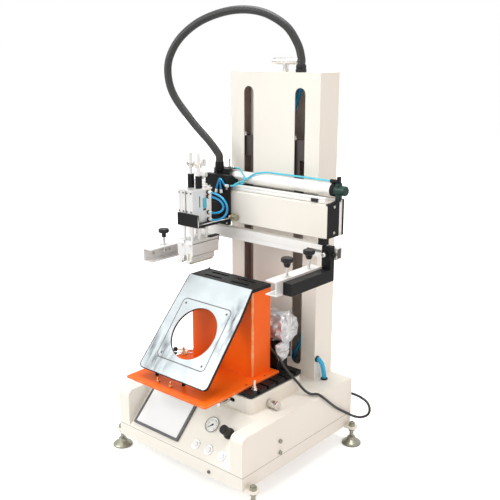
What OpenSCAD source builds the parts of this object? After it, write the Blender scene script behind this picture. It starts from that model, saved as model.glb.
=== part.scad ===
// Flatbed screen printer: base case with a sloped control panel, lift column, print head
// with a travelling squeegee carriage, screen clamp arms and an adjustable slotted table.
// Millimetres. +Z is up, Z = 0 is the floor, the operator stands at -Y, +X is to the right.

/* [Base case] */
// Width of the base case
base_width = 500; // [480:5:560]
// Depth of the base case
base_depth = 520; // [500:5:580]
// Height of the lower tray
pan_height = 40; // [30:1:55]
// Height of the upper cover
cover_height = 115; // [112:1:140]
// Sheet thickness of tray and cover
case_sheet = 2; // [1:0.5:3]
// Width of each side cheek beside the control panel
cheek_width = 44; // [34:1:54]
// Slope of the control panel from level
panel_angle = 45; // [40:1:50]
// Radius of the top front corner of the cheeks
cheek_radius = 18; // [8:1:28]
// Width of the bent lip round the tray's open top
pan_lip = 12; // [6:1:20]

/* [Levelling feet] */
// Height of the tray above the floor
foot_height = 54; // [44:1:64]
// Diameter of a foot's pad
foot_pad = 60; // [44:1:70]
// Diameter of a foot's threaded stem
foot_stem = 12; // [8:1:16]
// Distance of a foot's axis outside the case's side
foot_outset = 20; // [17:1:30]
// Distance of a foot's axis from the case's front or rear
foot_inset = 22; // [18:1:40]
// Thickness of the ears that carry the feet
ear_thickness = 6; // [4:1:10]

/* [Control panel] */
// Width of the touch screen's frame
screen_width = 188; // [160:1:196]
// Height of the touch screen's frame, along the slope
screen_height = 136; // [110:1:140]
// Width of the frame round the screen's glass
screen_border = 8; // [5:1:14]
// How far the touch screen stands out of the panel
screen_rise = 6; // [3:1:10]
// Outer diameter of a push button's ring
button_ring = 29; // [26:1:34]
// Diameter of a push button's cap
button_cap = 19; // [15:0.5:19]
// Travel of a push button
button_travel = 4; // [2:0.5:5]
// Distance between neighbouring push buttons
button_pitch = 50; // [38:1:52]
// Diameter of the pressure gauge
gauge_diameter = 46; // [38:1:52]
// Diameter of the regulator's flange
regulator_flange = 33; // [30:1:38]
// Diameter of the regulator's grip
regulator_grip = 26; // [20:1:28]
// Length of the regulator's grip
regulator_length = 32; // [24:1:36]

/* [Column] */
// Width of the column
column_width = 340; // [320:2:370]
// Depth of the column
column_depth = 91; // [86:1:104]
// Height of the column above the base
column_height = 927; // [900:1:1000]
// Sheet thickness of the column
column_sheet = 2.5; // [1.5:0.5:4]
// Width of the two slots in the column's front
slot_width = 38; // [32:1:44]
// Distance between the two slots
slot_spacing = 196; // [190:1:204]
// Thickness of the column's cap plate
cap_thickness = 3; // [2:0.5:5]

/* [Lift] */
// Diameter of the two guide rods
guide_rod = 16; // [12:1:20]
// Distance between the guide rods
guide_spacing = 224; // [216:1:232]
// Outer diameter of the lift cylinder
lift_barrel = 50; // [44:1:56]
// Diameter of the lift cylinder's piston rod
lift_rod = 20; // [14:1:24]
// Diameter of the height stop screw
stop_screw = 10; // [8:1:14]
// Length of the height stop's cross bar
stop_bar = 91; // [60:1:110]

/* [Table stage] */
// Width of the round-cornered plinth
plinth_width = 356; // [340:2:372]
// Depth of the plinth
plinth_depth = 236; // [224:2:244]
// Height of the plinth
plinth_height = 46; // [44:1:60]
// Corner radius of the plinth
plinth_radius = 20; // [8:1:30]
// Wall of the plinth
plinth_wall = 2; // [1:0.5:4]
// Diameter of the adjusting screws
stage_screw = 8; // [6:0.5:8]
// Diameter of the side adjusting knob
x_knob_size = 25; // [18:1:27]
// Length of the side adjusting knob
x_knob_length = 33; // [20:1:40]
// Diameter of the front adjusting knob
y_knob_size = 13; // [12:1:17]
// Length of the front adjusting knob
y_knob_length = 43; // [24:1:44]

/* [Table] */
// Width of the slotted table
table_width = 350; // [335:1:380]
// Depth of the slotted table
table_depth = 230; // [222:1:244]
// Thickness of the slotted table
table_thickness = 12; // [11:0.5:18]
// Distance between the table's T-slots
slot_pitch = 42; // [34:1:44]
// Opening of a T-slot
slot_mouth = 8; // [6:0.5:10]

/* [Fixture] */
// Width of the fixture's base plate
plate_width = 320; // [300:1:340]
// Depth of the fixture's base plate
plate_depth = 320; // [316:1:340]
// Thickness of the fixture's base plate
plate_thickness = 6; // [4:0.5:10]
// Width of the bent upright
upright_width = 248; // [240:1:252]
// Depth of the bent upright
upright_depth = 80; // [70:1:86]
// Height of the bent upright
upright_height = 260; // [254:1:266]
// Sheet thickness of the upright
upright_sheet = 3; // [2:0.5:5]
// Width of the black plate on the upright
head_plate_width = 250; // [246:1:262]
// Thickness of the black plate on the upright
head_plate_thickness = 10; // [8:0.5:14]
// Slope of the angled plate from level
slant_angle = 50; // [48:1:52]
// Width of the angled plate at its top edge
slant_width = 250; // [240:1:256]
// How much wider the angled plate is at its lower end
slant_flare = 24; // [0:1:30]
// Length of the angled plate down its slope
slant_length = 313; // [300:1:316]
// Thickness of the angled backing plate
slant_thickness = 6; // [4:0.5:8]
// Thickness of the metal panel on the angled plate
skin_thickness = 1.2; // [0.8:0.1:2.5]
// Diameter of the hole in the angled plate
slant_hole = 160; // [130:1:170]

/* [Work drive] */
// Diameter of the wrapped motor
motor_diameter = 100; // [90:1:106]
// Length of the wrapped motor
motor_length = 148; // [120:1:150]

/* [Print head] */
// Height of the beam's underside above the floor at rest
head_height = 692; // [688:1:740]
// Length of the beam's cover
beam_length = 520; // [500:2:540]
// Height of the beam
beam_height = 103; // [95:1:112]
// Depth of the white beam cover
beam_cover_depth = 60; // [52:1:66]
// Sheet thickness of the beam cover
beam_sheet = 2; // [1:0.5:3]
// Depth of the aluminium rail strip behind the cover
rail_depth = 13; // [10:1:16]
// Thickness of the head's back plate
back_thickness = 10; // [6:1:14]
// Thickness of the beam's end plates
end_thickness = 8; // [5:1:12]
// Gap between the head's back plate and the column
head_gap = 11; // [8:1:16]
// Diameter of the travel cylinder's tube
tube_diameter = 36; // [32:1:38]
// Width of the slide rail on the beam
slide_rail = 15; // [12:1:20]
// Length of the frame bar
bar_length = 614; // [604:2:640]
// Depth of the frame bar
bar_depth = 26; // [24:1:32]
// Height of the frame bar
bar_height = 34; // [32:1:38]
// Wall of the frame bar
bar_wall = 3; // [2:0.5:4]

/* [Carriage] */
// Width of the carriage
carriage_width = 95; // [92:1:104]
// Thickness of the carriage's front plate
carriage_plate_t = 12; // [8:1:13]
// Distance between the flood and squeegee rods
blade_spacing = 32; // [32:0.5:35]
// Diameter of the blade holders' lift rods
blade_rod = 10; // [8:0.5:10]
// Travel of the blade holders
blade_travel = 20; // [10:1:24]
// Length of a blade holder
holder_length = 113; // [106:1:116]
// Length of the squeegee and of the flood blade
blade_length = 98; // [80:1:104]
// Width of a blade holder
holder_width = 31; // [26:0.5:31]
// Thickness of the squeegee rubber
rubber_thickness = 8; // [6:0.5:10]

/* [Screen clamps] */
// Width of a clamp channel
channel_width = 36; // [32:1:40]
// Height of a clamp channel
channel_height = 40; // [36:1:44]
// Wall of a clamp channel
channel_wall = 3; // [2:0.5:4]
// Width of the black right arm
arm_width = 28; // [22:1:34]
// Diameter of a clamp knob
knob_size = 33; // [30:1:40]
// Diameter of a clamp screw
clamp_screw = 8; // [6:0.5:10]

/* [Hidden] */
$fn = 48;

run = 0.05; // radial clearance of a pin or shaft that turns or slides in its bore
free = 0.3; // clearance of other neighbours that move past each other
eps = 0.5; // overrun of a cutting shape

ivory = [0.93, 0.91, 0.86];
orange = [0.92, 0.36, 0.12];
black = [0.08, 0.08, 0.09];
silver = [0.8, 0.81, 0.82];
steel = [0.62, 0.63, 0.65];
blue = [0.1, 0.6, 0.9];
brass = [0.8, 0.7, 0.45];

// Heights of the case
pan_z = foot_height;
cover_z = pan_z + pan_height;
deck_z = cover_z + cover_height;

// Plan of the case and column
base_centre_y = 2;
base_front = base_centre_y - base_depth / 2;
base_back = base_centre_y + base_depth / 2;
half_base = base_width / 2;
foot_x = half_base + foot_outset;
foot_front_y = base_front + foot_inset;
foot_back_y = base_back - foot_inset;
column_front = base_back - column_depth;
column_top = deck_z + column_height;

// Sloped panel: start of the slope, and cuts of its plane at an inset t
slope_lip = 4;
slope_z = cover_z + slope_lip;
panel_length = (deck_z - slope_z) / sin(panel_angle);
function slope_z_at(y, t) = slope_z + (y - base_front) * tan(panel_angle) - t / cos(panel_angle);
function slope_y_at(z, t) = base_front + (z - slope_z + t / cos(panel_angle)) / tan(panel_angle);

// Places on the panel: x, and s along the slope from its lower edge
screen_x = -100;
screen_s = panel_length / 2 + 2;
screen_back = 24;
screen_margin = 7;
buttons_x = 107;
buttons_s = 29;
gauge_x = 78;
gauge_s = 97;
gauge_depth = 5;
regulator_x = 144;
regulator_s = 93;
regulator_base = 4;
button_rise = 4;
button_barrel = 22;
button_stem = 22;

// Table stage
table_reach = 191;
stage_y = column_front - table_reach;
screw_hold = 40;
stage_x_travel = 10;
stage_y_travel = 10;
table_gap = 3;
table_z = deck_z + plinth_height + table_gap;
table_top_z = table_z + table_thickness;
block_w = 230;
block_d = 130;
stage_plate = 5;
stage_rail_w = 18;
stage_rail_h = 6;
lower_rail_y = 22;
upper_rail_x = 60;
saddle_z = deck_z + stage_plate + 1;
saddle_h = 14;
saddle_top = saddle_z + saddle_h;
upper_z = saddle_top + 1;
x_screw_y = stage_y - 42;
x_screw_z = saddle_z + saddle_h / 2;
y_screw_x = 100;
y_screw_z = upper_z + 6.5;
bracket_gap = 12;
bracket_t = 10;
knob_gap = 4;

// Fixture
plate_x = -20;
plate_front = stage_y - 264;
plate_z = table_top_z;
upright_z = plate_z + plate_thickness;
upright_x = -11;
upright_front = stage_y - 36;
upright_top = upright_z + upright_height;
upright_bend = 8;
head_plate_x = upright_x;
head_plate_top = upright_top + head_plate_thickness;
slant_x = head_plate_x - 1;
slant_step = 94;
slant_step_w = 6;
slant_edge_y = upright_front - 1;
slant_edge_z = head_plate_top;
hole_x = -15;
hole_s = 171;
slant_radius = 15;
stop_pin = 4;
stop_pin_x = head_plate_x - head_plate_width / 2 + 4;
stop_pin_y = upright_front + upright_depth - 0.5;
slant_stack = slant_thickness + skin_thickness;
skin_screw_pitch = 162;
post_d = 10;
post_s = hole_s + slant_hole / 2 + 7;
post_x = [-114, -3];
panel_seam = 194;
panel_seam_w = 3;

// Work drive
motor_x = 64;
motor_y = stage_y + 107;
motor_z = table_top_z + 76 + motor_diameter / 2;

// Lift
guide_y = column_front + 36;
lift_y = column_front + 51;
guide_foot = 20;
guide_head_z = column_top - 31;
guide_head_h = 20;
lift_top = head_height - 92;
slider_z = head_height - 2;
slider_h = 255;
lift_hold = 170;
stop_x = 8;
stop_y = column_front + 46;
stop_end_z = column_top - 38;

// Print head
back_rear = column_front - head_gap;
back_front = back_rear - back_thickness;
rail_front = back_front - rail_depth;
cover_front = rail_front - beam_cover_depth;
beam_top = head_height + beam_height;
beam_lip = 3;
face_drop = 9;
half_beam = beam_length / 2;
beam_end = half_beam + end_thickness;
tube_y = back_front - 18;
tube_z = beam_top + 10 + tube_diameter / 2;
rail_y = cover_front + 15;
rail_z = beam_top - beam_lip;
rail_top = beam_top + 10;
bar_y = cover_front - 5;
bar_gap = 18;
bar_z = head_height - bar_gap - bar_height;
bar_slot = 8.2;
bar_slot_z = bar_z + bar_height / 2 - bar_slot / 2;
hanger_w = 22;
end_cap_in = 13;
fitting_x = half_beam - 20;
hanger_x = 251;

// Carriage
carriage_x = -133.5;
carriage_left = carriage_x - carriage_width / 2;
carriage_right = carriage_x + carriage_width / 2;
plate_rear = cover_front - 3;
plate_fore = plate_rear - carriage_plate_t;
tray_z = head_height + 6;
plate_low = head_height - 9;
tray_t = 8;
tray_front = plate_fore - 140;
tray_left = -163;
tray_right = -78;
unit_z = tray_z + tray_t;
unit_h = 97;
cap_t = 4;
cap_top = unit_z + unit_h + cap_t;
unit_top = unit_z + unit_h;
unit_front = tray_front + 5;
unit_back = unit_front + 78;
rod_y = (unit_front + unit_back) / 2;
squeegee_x = -115.5;
flood_x = squeegee_x - blade_spacing;
unit_half = 14;
guide_pin = 8;
guide_pitch = 60;
holder_top = tray_z - 43;
holder_step = 47;
holder_h = 65;
holder_front = rod_y - 46;
rod_end = cap_top + 103;
nut_z = rod_end - 42;
block_top = beam_top + 40;
block_slope = 17;
block_depth = 33;
seat_top = tube_z - 1;
seat_right = carriage_x + 4;
block_rear = tube_y + tube_diameter / 2 + 7;
loop_x = squeegee_x + 23;
loop_y = unit_back - 15;
loop_outer = [unit_z + 6, unit_z + 88];
loop_inner = [unit_z + 27, unit_z + 75];
hose_x = -158;
hose_y = plate_rear + 28;
hose_rise = 33;

// Screen clamps
clamp_top = bar_z - 19;
channel_z = clamp_top - channel_height;
channel_rear = bar_y - 18;
left_out = -bar_length / 2 + 52;
right_in = bar_length / 2 - 71;
channel_front = channel_rear - 190;
right_front = channel_rear - 202;
arm_x = right_in + channel_width;
leg_w = 30;
right_knob_x = right_in + channel_width - 14;
left_knob_x = left_out + 14;

// Shared helpers

module block(lo, hi) {
    translate(lo) cube(hi - lo);
}

module along_x(x0, x1) {
    translate([x0, 0, 0]) rotate([90, 0, 90]) linear_extrude(x1 - x0) children();
}

module along_y(y0, y1) {
    translate([0, y1, 0]) rotate([90, 0, 0]) linear_extrude(y1 - y0) children();
}

module rod_x(x0, x1, y, z, d) {
    translate([x0, y, z]) rotate([0, 90, 0]) cylinder(h = x1 - x0, d = d);
}

module rod_y(y0, y1, x, z, d) {
    translate([x, y1, z]) rotate([90, 0, 0]) cylinder(h = y1 - y0, d = d);
}

module rod_z(z0, z1, x, y, d) {
    translate([x, y, z0]) cylinder(h = z1 - z0, d = d);
}

module rounded(w, d, r) {
    square([w - 2 * r, d], center = true);
    square([w, d - 2 * r], center = true);
    for (x = [-1, 1], y = [-1, 1])
        translate([x * (w / 2 - r), y * (d / 2 - r)]) circle(r);
}

module hex(across, h) {
    cylinder(h = h, d = across / cos(30), $fn = 6);
}

// Straight round bar between two points
module strut(a, b, d) {
    v = b - a;
    translate(a)
        rotate([0, acos(v.z / norm(v)), atan2(v.y, v.x)]) cylinder(h = norm(v), d = d);
}

// Frame of the sloped panel: x across, y up the slope, z out of the panel
module on_panel(x, s) {
    translate([x, base_front, slope_z]) rotate([panel_angle, 0, 0])
        translate([0, s, 0]) children();
}

// Frame of the angled plate: y up its slope from the top edge, z out of its face
module on_slant() {
    translate([0, slant_edge_y, slant_edge_z]) rotate([slant_angle, 0, 0]) children();
}

// Cords: a smooth path through hand-chosen points, swept as one tube

function unit(v) = v / norm(v);
function through(a, b, c, d, t) =
    0.5 * (2 * b + (c - a) * t + (2 * a - 5 * b + 4 * c - d) * t * t
        + (3 * b - a - 3 * c + d) * t * t * t);
function smooth_path(p, n) = [
    for (i = [0 : len(p) - 2], k = [0 : n - 1])
        through(p[max(i - 1, 0)], p[i], p[i + 1], p[min(i + 2, len(p) - 1)], k / n),
    p[len(p) - 1]];
// Tangents along a path; at both ends they follow the chosen points, so the ends sit square
function path_tangents(p, q) = [
    unit(q[1] - q[0]),
    for (i = [1 : len(p) - 2]) unit(p[i + 1] - p[i - 1]),
    unit(q[len(q) - 1] - q[len(q) - 2])];
function carried_normals(t, i, last) =
    i >= len(t) ? [] :
    let (n = unit(last - (last * t[i]) * t[i])) concat([n], carried_normals(t, i + 1, n));

module sweep_tube(points, steps, d, sides, first) {
    p = smooth_path(points, steps);
    t = path_tangents(p, points);
    n = carried_normals(t, 0, first);
    rings = [
        for (i = [0 : len(p) - 1], k = [0 : sides - 1])
            p[i] + d / 2 * (cos(360 * k / sides) * n[i]
                + sin(360 * k / sides) * cross(t[i], n[i]))];
    last = (len(p) - 1) * sides;
    sides_faces = [
        for (i = [0 : len(p) - 2], k = [0 : sides - 1], half = [0, 1])
            let (a = i * sides + k, b = i * sides + (k + 1) % sides)
            half == 0 ? [a, a + sides, b] : [b, a + sides, b + sides]];
    caps = [[for (k = [0 : sides - 1]) k], [for (k = [0 : sides - 1]) last + sides - 1 - k]];
    polyhedron(points = rings, faces = concat(sides_faces, caps), convexity = 10);
}

// Hose from the column's cap over to the carriage
hose_d = 24;
hose_points = [
    [84, 192, 1162], [84, 192, 1180], [72, 188, 1220], [38, 174, 1270], [-30, 148, 1308],
    [-115, 118, 1314], [-205, 85, 1288], [-272, 60, 1240], [-310, 46, 1180],
    [-316, 44, 1120], [-296, 51, 1060], [-240, 72, 985], [-190, 90, 930],
    [-162, 101, 892], [-158, 102, 880], [-158, 102, block_top + hose_rise]];

// Cable from the work drive over the base to the gland at the rear
cable_d = 8;
cable_points = [
    [100, 42, 345], [100, 38, 345], [110, 34, 338], [137, 37, 316], [160, 36, 292],
    [178, 40, 274], [192, 58, 246], [208, 68, 224], [230, 72, 216], [248, 84, 216],
    [258, 104, 198], [257, 165, 147], [258, 225, 106], [264, 258, 84], [278, 278, 77],
    [297, 286, 88], [302, 290, 108], [286, 296, 126], [250, 302, 133], [216, 302, 133],
    [200, 292, 133], [200, 284, 133]];

// Air tube from the column's side down into the base
air_d = 14;
air_points = [
    [174, 183, 276], [179, 183, 276], [188, 187, 262], [190, 193, 238], [189, 198, 220],
    [189, 198, 213]];

// Base case

module base_pan() color(ivory) difference() {
    union() {
        block([-half_base, base_front, pan_z], [half_base, base_back, cover_z]);
        for (side = [-1, 1], y = [foot_front_y, foot_back_y])
            translate([0, y, pan_z]) linear_extrude(ear_thickness) {
                translate([side * foot_x, 0]) circle(d = 34);
                translate([side > 0 ? half_base - eps : -foot_x, -17])
                    square([foot_outset + eps, 34]);
            }
    }
    block([-half_base + case_sheet, base_front + case_sheet, pan_z + case_sheet],
        [half_base - case_sheet, base_back - case_sheet, cover_z - case_sheet]);
    block([-half_base + pan_lip, base_front + pan_lip, cover_z - 2 * case_sheet],
        [half_base - pan_lip, base_back - pan_lip, cover_z + eps]);
    for (side = [-1, 1], y = [foot_front_y, foot_back_y])
        rod_z(pan_z - eps, pan_z + ear_thickness + eps, side * foot_x, y, foot_stem + 2 * run);
}

module panel_outline(t, bottom) polygon([
    [base_front + t, bottom], [base_back - t, bottom], [base_back - t, deck_z - t],
    [slope_y_at(deck_z - t, t), deck_z - t],
    [base_front + t, slope_z_at(base_front + t, t)]]);

module cheek_outline(t, bottom) {
    r = cheek_radius;
    polygon([
        [base_front + t, bottom], [base_back - t, bottom], [base_back - t, deck_z - t],
        [base_front + r, deck_z - t], [base_front + r, deck_z - r],
        [base_front + t, deck_z - r]]);
    intersection() {
        translate([base_front + r, deck_z - r]) circle(r - t);
        translate([base_front, deck_z - r]) square(r);
    }
}

module base_cover() color(ivory) difference() {
    inner = half_base - cheek_width;
    union() {
        along_x(-inner - eps, inner + eps) panel_outline(0, cover_z);
        along_x(-half_base, -inner) cheek_outline(0, cover_z);
        along_x(inner, half_base) cheek_outline(0, cover_z);
    }
    along_x(-inner - case_sheet - eps, inner + case_sheet + eps)
        panel_outline(case_sheet, cover_z - eps);
    along_x(-half_base + case_sheet, -inner - case_sheet) cheek_outline(case_sheet, cover_z - eps);
    along_x(inner + case_sheet, half_base - case_sheet) cheek_outline(case_sheet, cover_z - eps);
    on_panel(screen_x, screen_s) translate([0, 0, -2 * case_sheet]) linear_extrude(3 * case_sheet)
        rounded(screen_width - 2 * screen_margin + 2 * free,
            screen_height - 2 * screen_margin + 2 * free, 4);
    for (i = [-1, 0, 1])
        on_panel(buttons_x + i * button_pitch, buttons_s)
            translate([0, 0, -2 * case_sheet]) cylinder(h = 3 * case_sheet, d = button_barrel + 2 * free);
    on_panel(gauge_x, gauge_s)
        translate([0, 0, -2 * case_sheet]) cylinder(h = 3 * case_sheet, d = gauge_diameter - 6 + 2 * free);
    on_panel(regulator_x, regulator_s)
        translate([0, 0, -2 * case_sheet]) cylinder(h = 3 * case_sheet, d = regulator_flange - 9);
}

gland_x = 200;
inlet_x = -150;
rear_fit_z = 133;
rear_fit_length = 22;
inlet_bore = 8.1;
screw_gap = 35;
screw_y = -98;
screw_z = 105;
lock_x = 127;

module case_fittings() {
    color(steel) {
        for (k = [0, 1])
            rod_x(half_base, half_base + 5, screw_y, screw_z + k * screw_gap, 12);
        translate([lock_x, base_front, pan_z + 14]) rotate([90, 0, 0]) cylinder(h = 4, d = 9);
    }
    color(black) {
        difference() {
            translate([gland_x, base_back, rear_fit_z]) rotate([-90, 0, 0]) {
                hex(19, 8);
                cylinder(h = rear_fit_length, d = 15);
            }
            rod_y(base_back + 10, base_back + rear_fit_length + eps, gland_x, rear_fit_z, 6);
        }
        difference() {
            translate([inlet_x, base_back, rear_fit_z]) rotate([-90, 0, 0]) {
                hex(17, 9);
                cylinder(h = rear_fit_length, d = 15);
            }
            rod_y(base_back + 6, base_back + rear_fit_length + eps, inlet_x, rear_fit_z, inlet_bore);
        }
        translate([189, 198, deck_z]) difference() {
            cylinder(h = 4, d = air_d + 8);
            translate([0, 0, -eps]) cylinder(h = 4 - eps, d = air_d - 2);
        }
    }
}

// Levelling feet

module foot(x, y) color(steel) translate([x, y, 0]) {
    pad_r = foot_pad / 2;
    stem_r = foot_stem / 2;
    rotate_extrude() polygon([
        [0, 0], [pad_r - 1, 0], [pad_r, 1], [pad_r, 5], [pad_r - 3, 8], [stem_r + 8, 17],
        [stem_r + 6, 24], [stem_r + 2, 26], [stem_r, 26], [stem_r, pan_z + ear_thickness + 13],
        [stem_r - 1, pan_z + ear_thickness + 14], [0, pan_z + ear_thickness + 14]]);
    translate([0, 0, pan_z - 9]) hex(foot_stem * 1.55, 9);
    translate([0, 0, pan_z + ear_thickness]) hex(foot_stem * 1.55, 9);
}

module foot_fl() foot(-foot_x, foot_front_y);
module foot_fr() foot(foot_x, foot_front_y);
module foot_rl() foot(-foot_x, foot_back_y);
module foot_rr() foot(foot_x, foot_back_y);

// Control panel

module touch_screen() color(black) on_panel(screen_x, screen_s) {
    difference() {
        linear_extrude(screen_rise) rounded(screen_width, screen_height, 5);
        translate([0, 0, screen_rise - 1]) linear_extrude(1 + eps)
            rounded(screen_width - 2 * screen_border, screen_height - 2 * screen_border, 1.5);
    }
    translate([0, 0, -screen_back]) linear_extrude(screen_back + eps)
        rounded(screen_width - 2 * screen_margin, screen_height - 2 * screen_margin, 4);
}

module pressure_gauge() color(silver) on_panel(gauge_x, gauge_s) difference() {
    rotate_extrude() polygon([
        [0, -26], [gauge_diameter / 2 - 4, -26], [gauge_diameter / 2 - 3, -25],
        [gauge_diameter / 2 - 3, 0], [gauge_diameter / 2, 0], [gauge_diameter / 2, gauge_depth - 1],
        [gauge_diameter / 2 - 1, gauge_depth], [gauge_diameter / 2 - 2.5, gauge_depth],
        [gauge_diameter / 2 - 4, gauge_depth - 3], [0, gauge_depth - 3]]);
    translate([0, 0, gauge_depth - 9]) cylinder(h = 9, d = 2 + 2 * run);
}

module gauge_needle() color(black) on_panel(gauge_x, gauge_s) {
    reach = gauge_diameter / 2 - 7;
    translate([0, 0, gauge_depth - 8]) cylinder(h = 7, d = 2);
    translate([0, 0, gauge_depth - 2.6]) cylinder(h = 1.6, d = 5);
    translate([0, 0, gauge_depth - 2.2]) linear_extrude(0.7)
        polygon([[-reach * 0.7, -reach * 0.72], [-reach * 0.72, -reach * 0.7], [-1.2, 1.2],
            [3.4, 4.6], [4.6, 3.4], [1.2, -1.2]]);
}

module panel_fittings() {
    color(silver) for (i = [-1, 0, 1]) on_panel(buttons_x + i * button_pitch, buttons_s)
        rotate_extrude() polygon([
            [button_cap / 2 + run, -button_stem], [button_barrel / 2, -button_stem],
            [button_barrel / 2, 0], [button_ring / 2, 0], [button_ring / 2, button_rise - 2],
            [button_ring / 2 - 2, button_rise], [button_cap / 2 + run, button_rise]]);
    color(black) on_panel(regulator_x, regulator_s) rotate_extrude() polygon([
        [4 + run, -34], [regulator_flange / 2 - 6, -34], [regulator_flange / 2 - 5, -32],
        [regulator_flange / 2 - 5, 0], [regulator_flange / 2, 0],
        [regulator_flange / 2, regulator_base - 1], [regulator_flange / 2 - 1, regulator_base],
        [4 + run, regulator_base]]);
}

module push_button(x) color(silver) on_panel(x, buttons_s) rotate_extrude() polygon([
    [0, -button_stem + 6], [button_cap / 2, -button_stem + 6],
    [button_cap / 2, button_rise + button_travel], [button_cap / 2 - 1, button_rise + button_travel + 1],
    [0, button_rise + button_travel + 1]]);

module button_left() push_button(buttons_x - button_pitch);
module button_middle() push_button(buttons_x);
module button_right() push_button(buttons_x + button_pitch);

module regulator_knob() color(black) on_panel(regulator_x, regulator_s) {
    r = regulator_grip / 2;
    top = regulator_base + free + regulator_length;
    difference() {
        rotate_extrude() polygon([
            [0, -28], [4, -28], [4, regulator_base + free], [r + 1.5, regulator_base + free],
            [r + 1.5, regulator_base + 6], [r, regulator_base + 8], [r, top - 2], [r - 2, top],
            [0, top]]);
        for (k = [0 : 11]) rotate(k * 30) translate([r + 0.9, 0, regulator_base + 9])
            cylinder(h = regulator_length, d = 3.4, $fn = 16);
    }
}

// Table stage

module plinth() color(ivory) difference() {
    open_w = block_w + 2 * stage_x_travel + 6;
    open_d = block_d + 2 * stage_y_travel + 6;
    translate([0, stage_y, deck_z]) linear_extrude(plinth_height)
        rounded(plinth_width, plinth_depth, plinth_radius);
    translate([0, stage_y, deck_z - eps]) linear_extrude(plinth_height - plinth_wall + eps)
        rounded(plinth_width - 2 * plinth_wall, plinth_depth - 2 * plinth_wall,
            plinth_radius - plinth_wall);
    translate([0, stage_y, deck_z]) linear_extrude(plinth_height + eps)
        rounded(open_w, open_d, 6);
    rod_x(plinth_width / 2 - 2 * plinth_wall, plinth_width / 2 + eps, x_screw_y, x_screw_z,
        stage_screw + 4);
    along_y(stage_y - plinth_depth / 2 - eps, stage_y - plinth_depth / 2 + 2 * plinth_wall)
        translate([y_screw_x, y_screw_z])
        rounded(stage_screw + 4 + 2 * stage_x_travel, stage_screw + 4, stage_screw / 2 + 1.9);
}

module stage_rail_outline(c, z) translate([c - stage_rail_w / 2, z])
    square([stage_rail_w, stage_rail_h]);

module stage_groove_outline(c, z) translate([c - stage_rail_w / 2 - free, z - eps])
    square([stage_rail_w + 2 * free, stage_rail_h + eps]);

module stage_base() color(steel) difference() {
    base_w = block_w + 2 * stage_x_travel + 2 * bracket_gap;
    union() {
        block([-base_w / 2, stage_y - block_d / 2, deck_z],
            [base_w / 2 + bracket_t, stage_y + block_d / 2, deck_z + stage_plate]);
        for (side = [-1, 1])
            along_x(-base_w / 2 + 4, base_w / 2 - 4)
                stage_rail_outline(stage_y + side * lower_rail_y, deck_z + stage_plate);
        block([base_w / 2, x_screw_y - 13, deck_z + stage_plate],
            [base_w / 2 + bracket_t, x_screw_y + 13, x_screw_z + 11]);
    }
    rod_x(base_w / 2 - eps, base_w / 2 + bracket_t + eps, x_screw_y, x_screw_z,
        stage_screw + 2 * run);
}

module stage_saddle() color(steel) difference() {
    front = stage_y - block_d / 2;
    lug = front - stage_y_travel - bracket_gap + 2;
    union() {
        block([-block_w / 2, front, saddle_z], [block_w / 2, stage_y + block_d / 2, saddle_top]);
        for (side = [-1, 1])
            along_y(front + 4, stage_y + block_d / 2 - 4)
                stage_rail_outline(side * upper_rail_x, saddle_top);
        block([y_screw_x - 14, lug - bracket_t, saddle_z + 2],
            [y_screw_x + 14, front + eps, saddle_top - 2]);
        block([y_screw_x - 14, lug - bracket_t, saddle_z + 2],
            [y_screw_x + 14, lug, y_screw_z + 9]);
    }
    for (side = [-1, 1])
        along_x(-block_w, block_w)
            stage_groove_outline(stage_y + side * lower_rail_y, deck_z + stage_plate);
    rod_x(-block_w / 2 + 60, block_w / 2 + eps, x_screw_y, x_screw_z, stage_screw + 2 * run);
    rod_y(lug - bracket_t - eps, lug + eps, y_screw_x, y_screw_z, stage_screw + 2 * run);
}

module ring_knob(d, l) rotate_extrude() polygon([
    [0, 0], [d / 2 - 2, 0], [d / 2 - 1, 1], [d / 2 - 1, l * 0.72], [d / 2 - 2, l * 0.74],
    [d / 2 - 2, l * 0.78], [d / 2, l * 0.8], [d / 2, l - 1], [d / 2 - 1, l], [0, l]]);

module x_knob() color(silver) {
    inner = block_w / 2 - screw_hold;
    start = plinth_width / 2 + knob_gap;
    rod_x(inner, start + eps, x_screw_y, x_screw_z, stage_screw);
    translate([start, x_screw_y, x_screw_z]) rotate([0, 90, 0]) ring_knob(x_knob_size, x_knob_length);
}

module y_knob() color(silver) {
    inner = stage_y - block_d / 2 + screw_hold;
    start = stage_y - plinth_depth / 2 - stage_y_travel - knob_gap + 6;
    rod_y(start - eps, inner, y_screw_x, y_screw_z, stage_screw);
    translate([y_screw_x, start, y_screw_z]) rotate([90, 0, 0]) ring_knob(y_knob_size, y_knob_length);
}

// Column and lift

module column_shell() color(ivory) difference() {
    slot_bottom = deck_z + 35 + slot_width / 2;
    slot_top = column_top - 40 - slot_width / 2;
    half = column_width / 2;
    block([-half, column_front, deck_z], [half, base_back, column_top]);
    block([-half + column_sheet, column_front + column_sheet, deck_z - eps],
        [half - column_sheet, base_back - column_sheet, column_top + eps]);
    for (side = [-1, 1])
        along_y(column_front - eps, column_front + 2 * column_sheet)
            translate([side * slot_spacing / 2, 0]) {
                translate([-slot_width / 2, slot_bottom]) square([slot_width, slot_top - slot_bottom]);
                translate([0, slot_bottom]) circle(d = slot_width);
                translate([0, slot_top]) circle(d = slot_width);
            }
}

module column_cap() {
    half = column_width / 2;
    color(ivory) difference() {
        block([-half, column_front, column_top], [half, base_back, column_top + cap_thickness]);
        rod_z(column_top - eps, column_top + cap_thickness + eps, stop_x, stop_y, stop_screw + 1);
    }
    color(black) translate([84, 192, column_top + cap_thickness]) {
        hex(30, 9);
        rotate_extrude() polygon([
            [0, 9], [14, 9], [15, 12], [15, 18], [hose_d / 2 + 1, 23], [0, 23]]);
    }
    color(black) translate([half, 183, 276]) rotate([0, 90, 0])
        cylinder(h = 4, d = air_d + 6);
}

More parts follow.
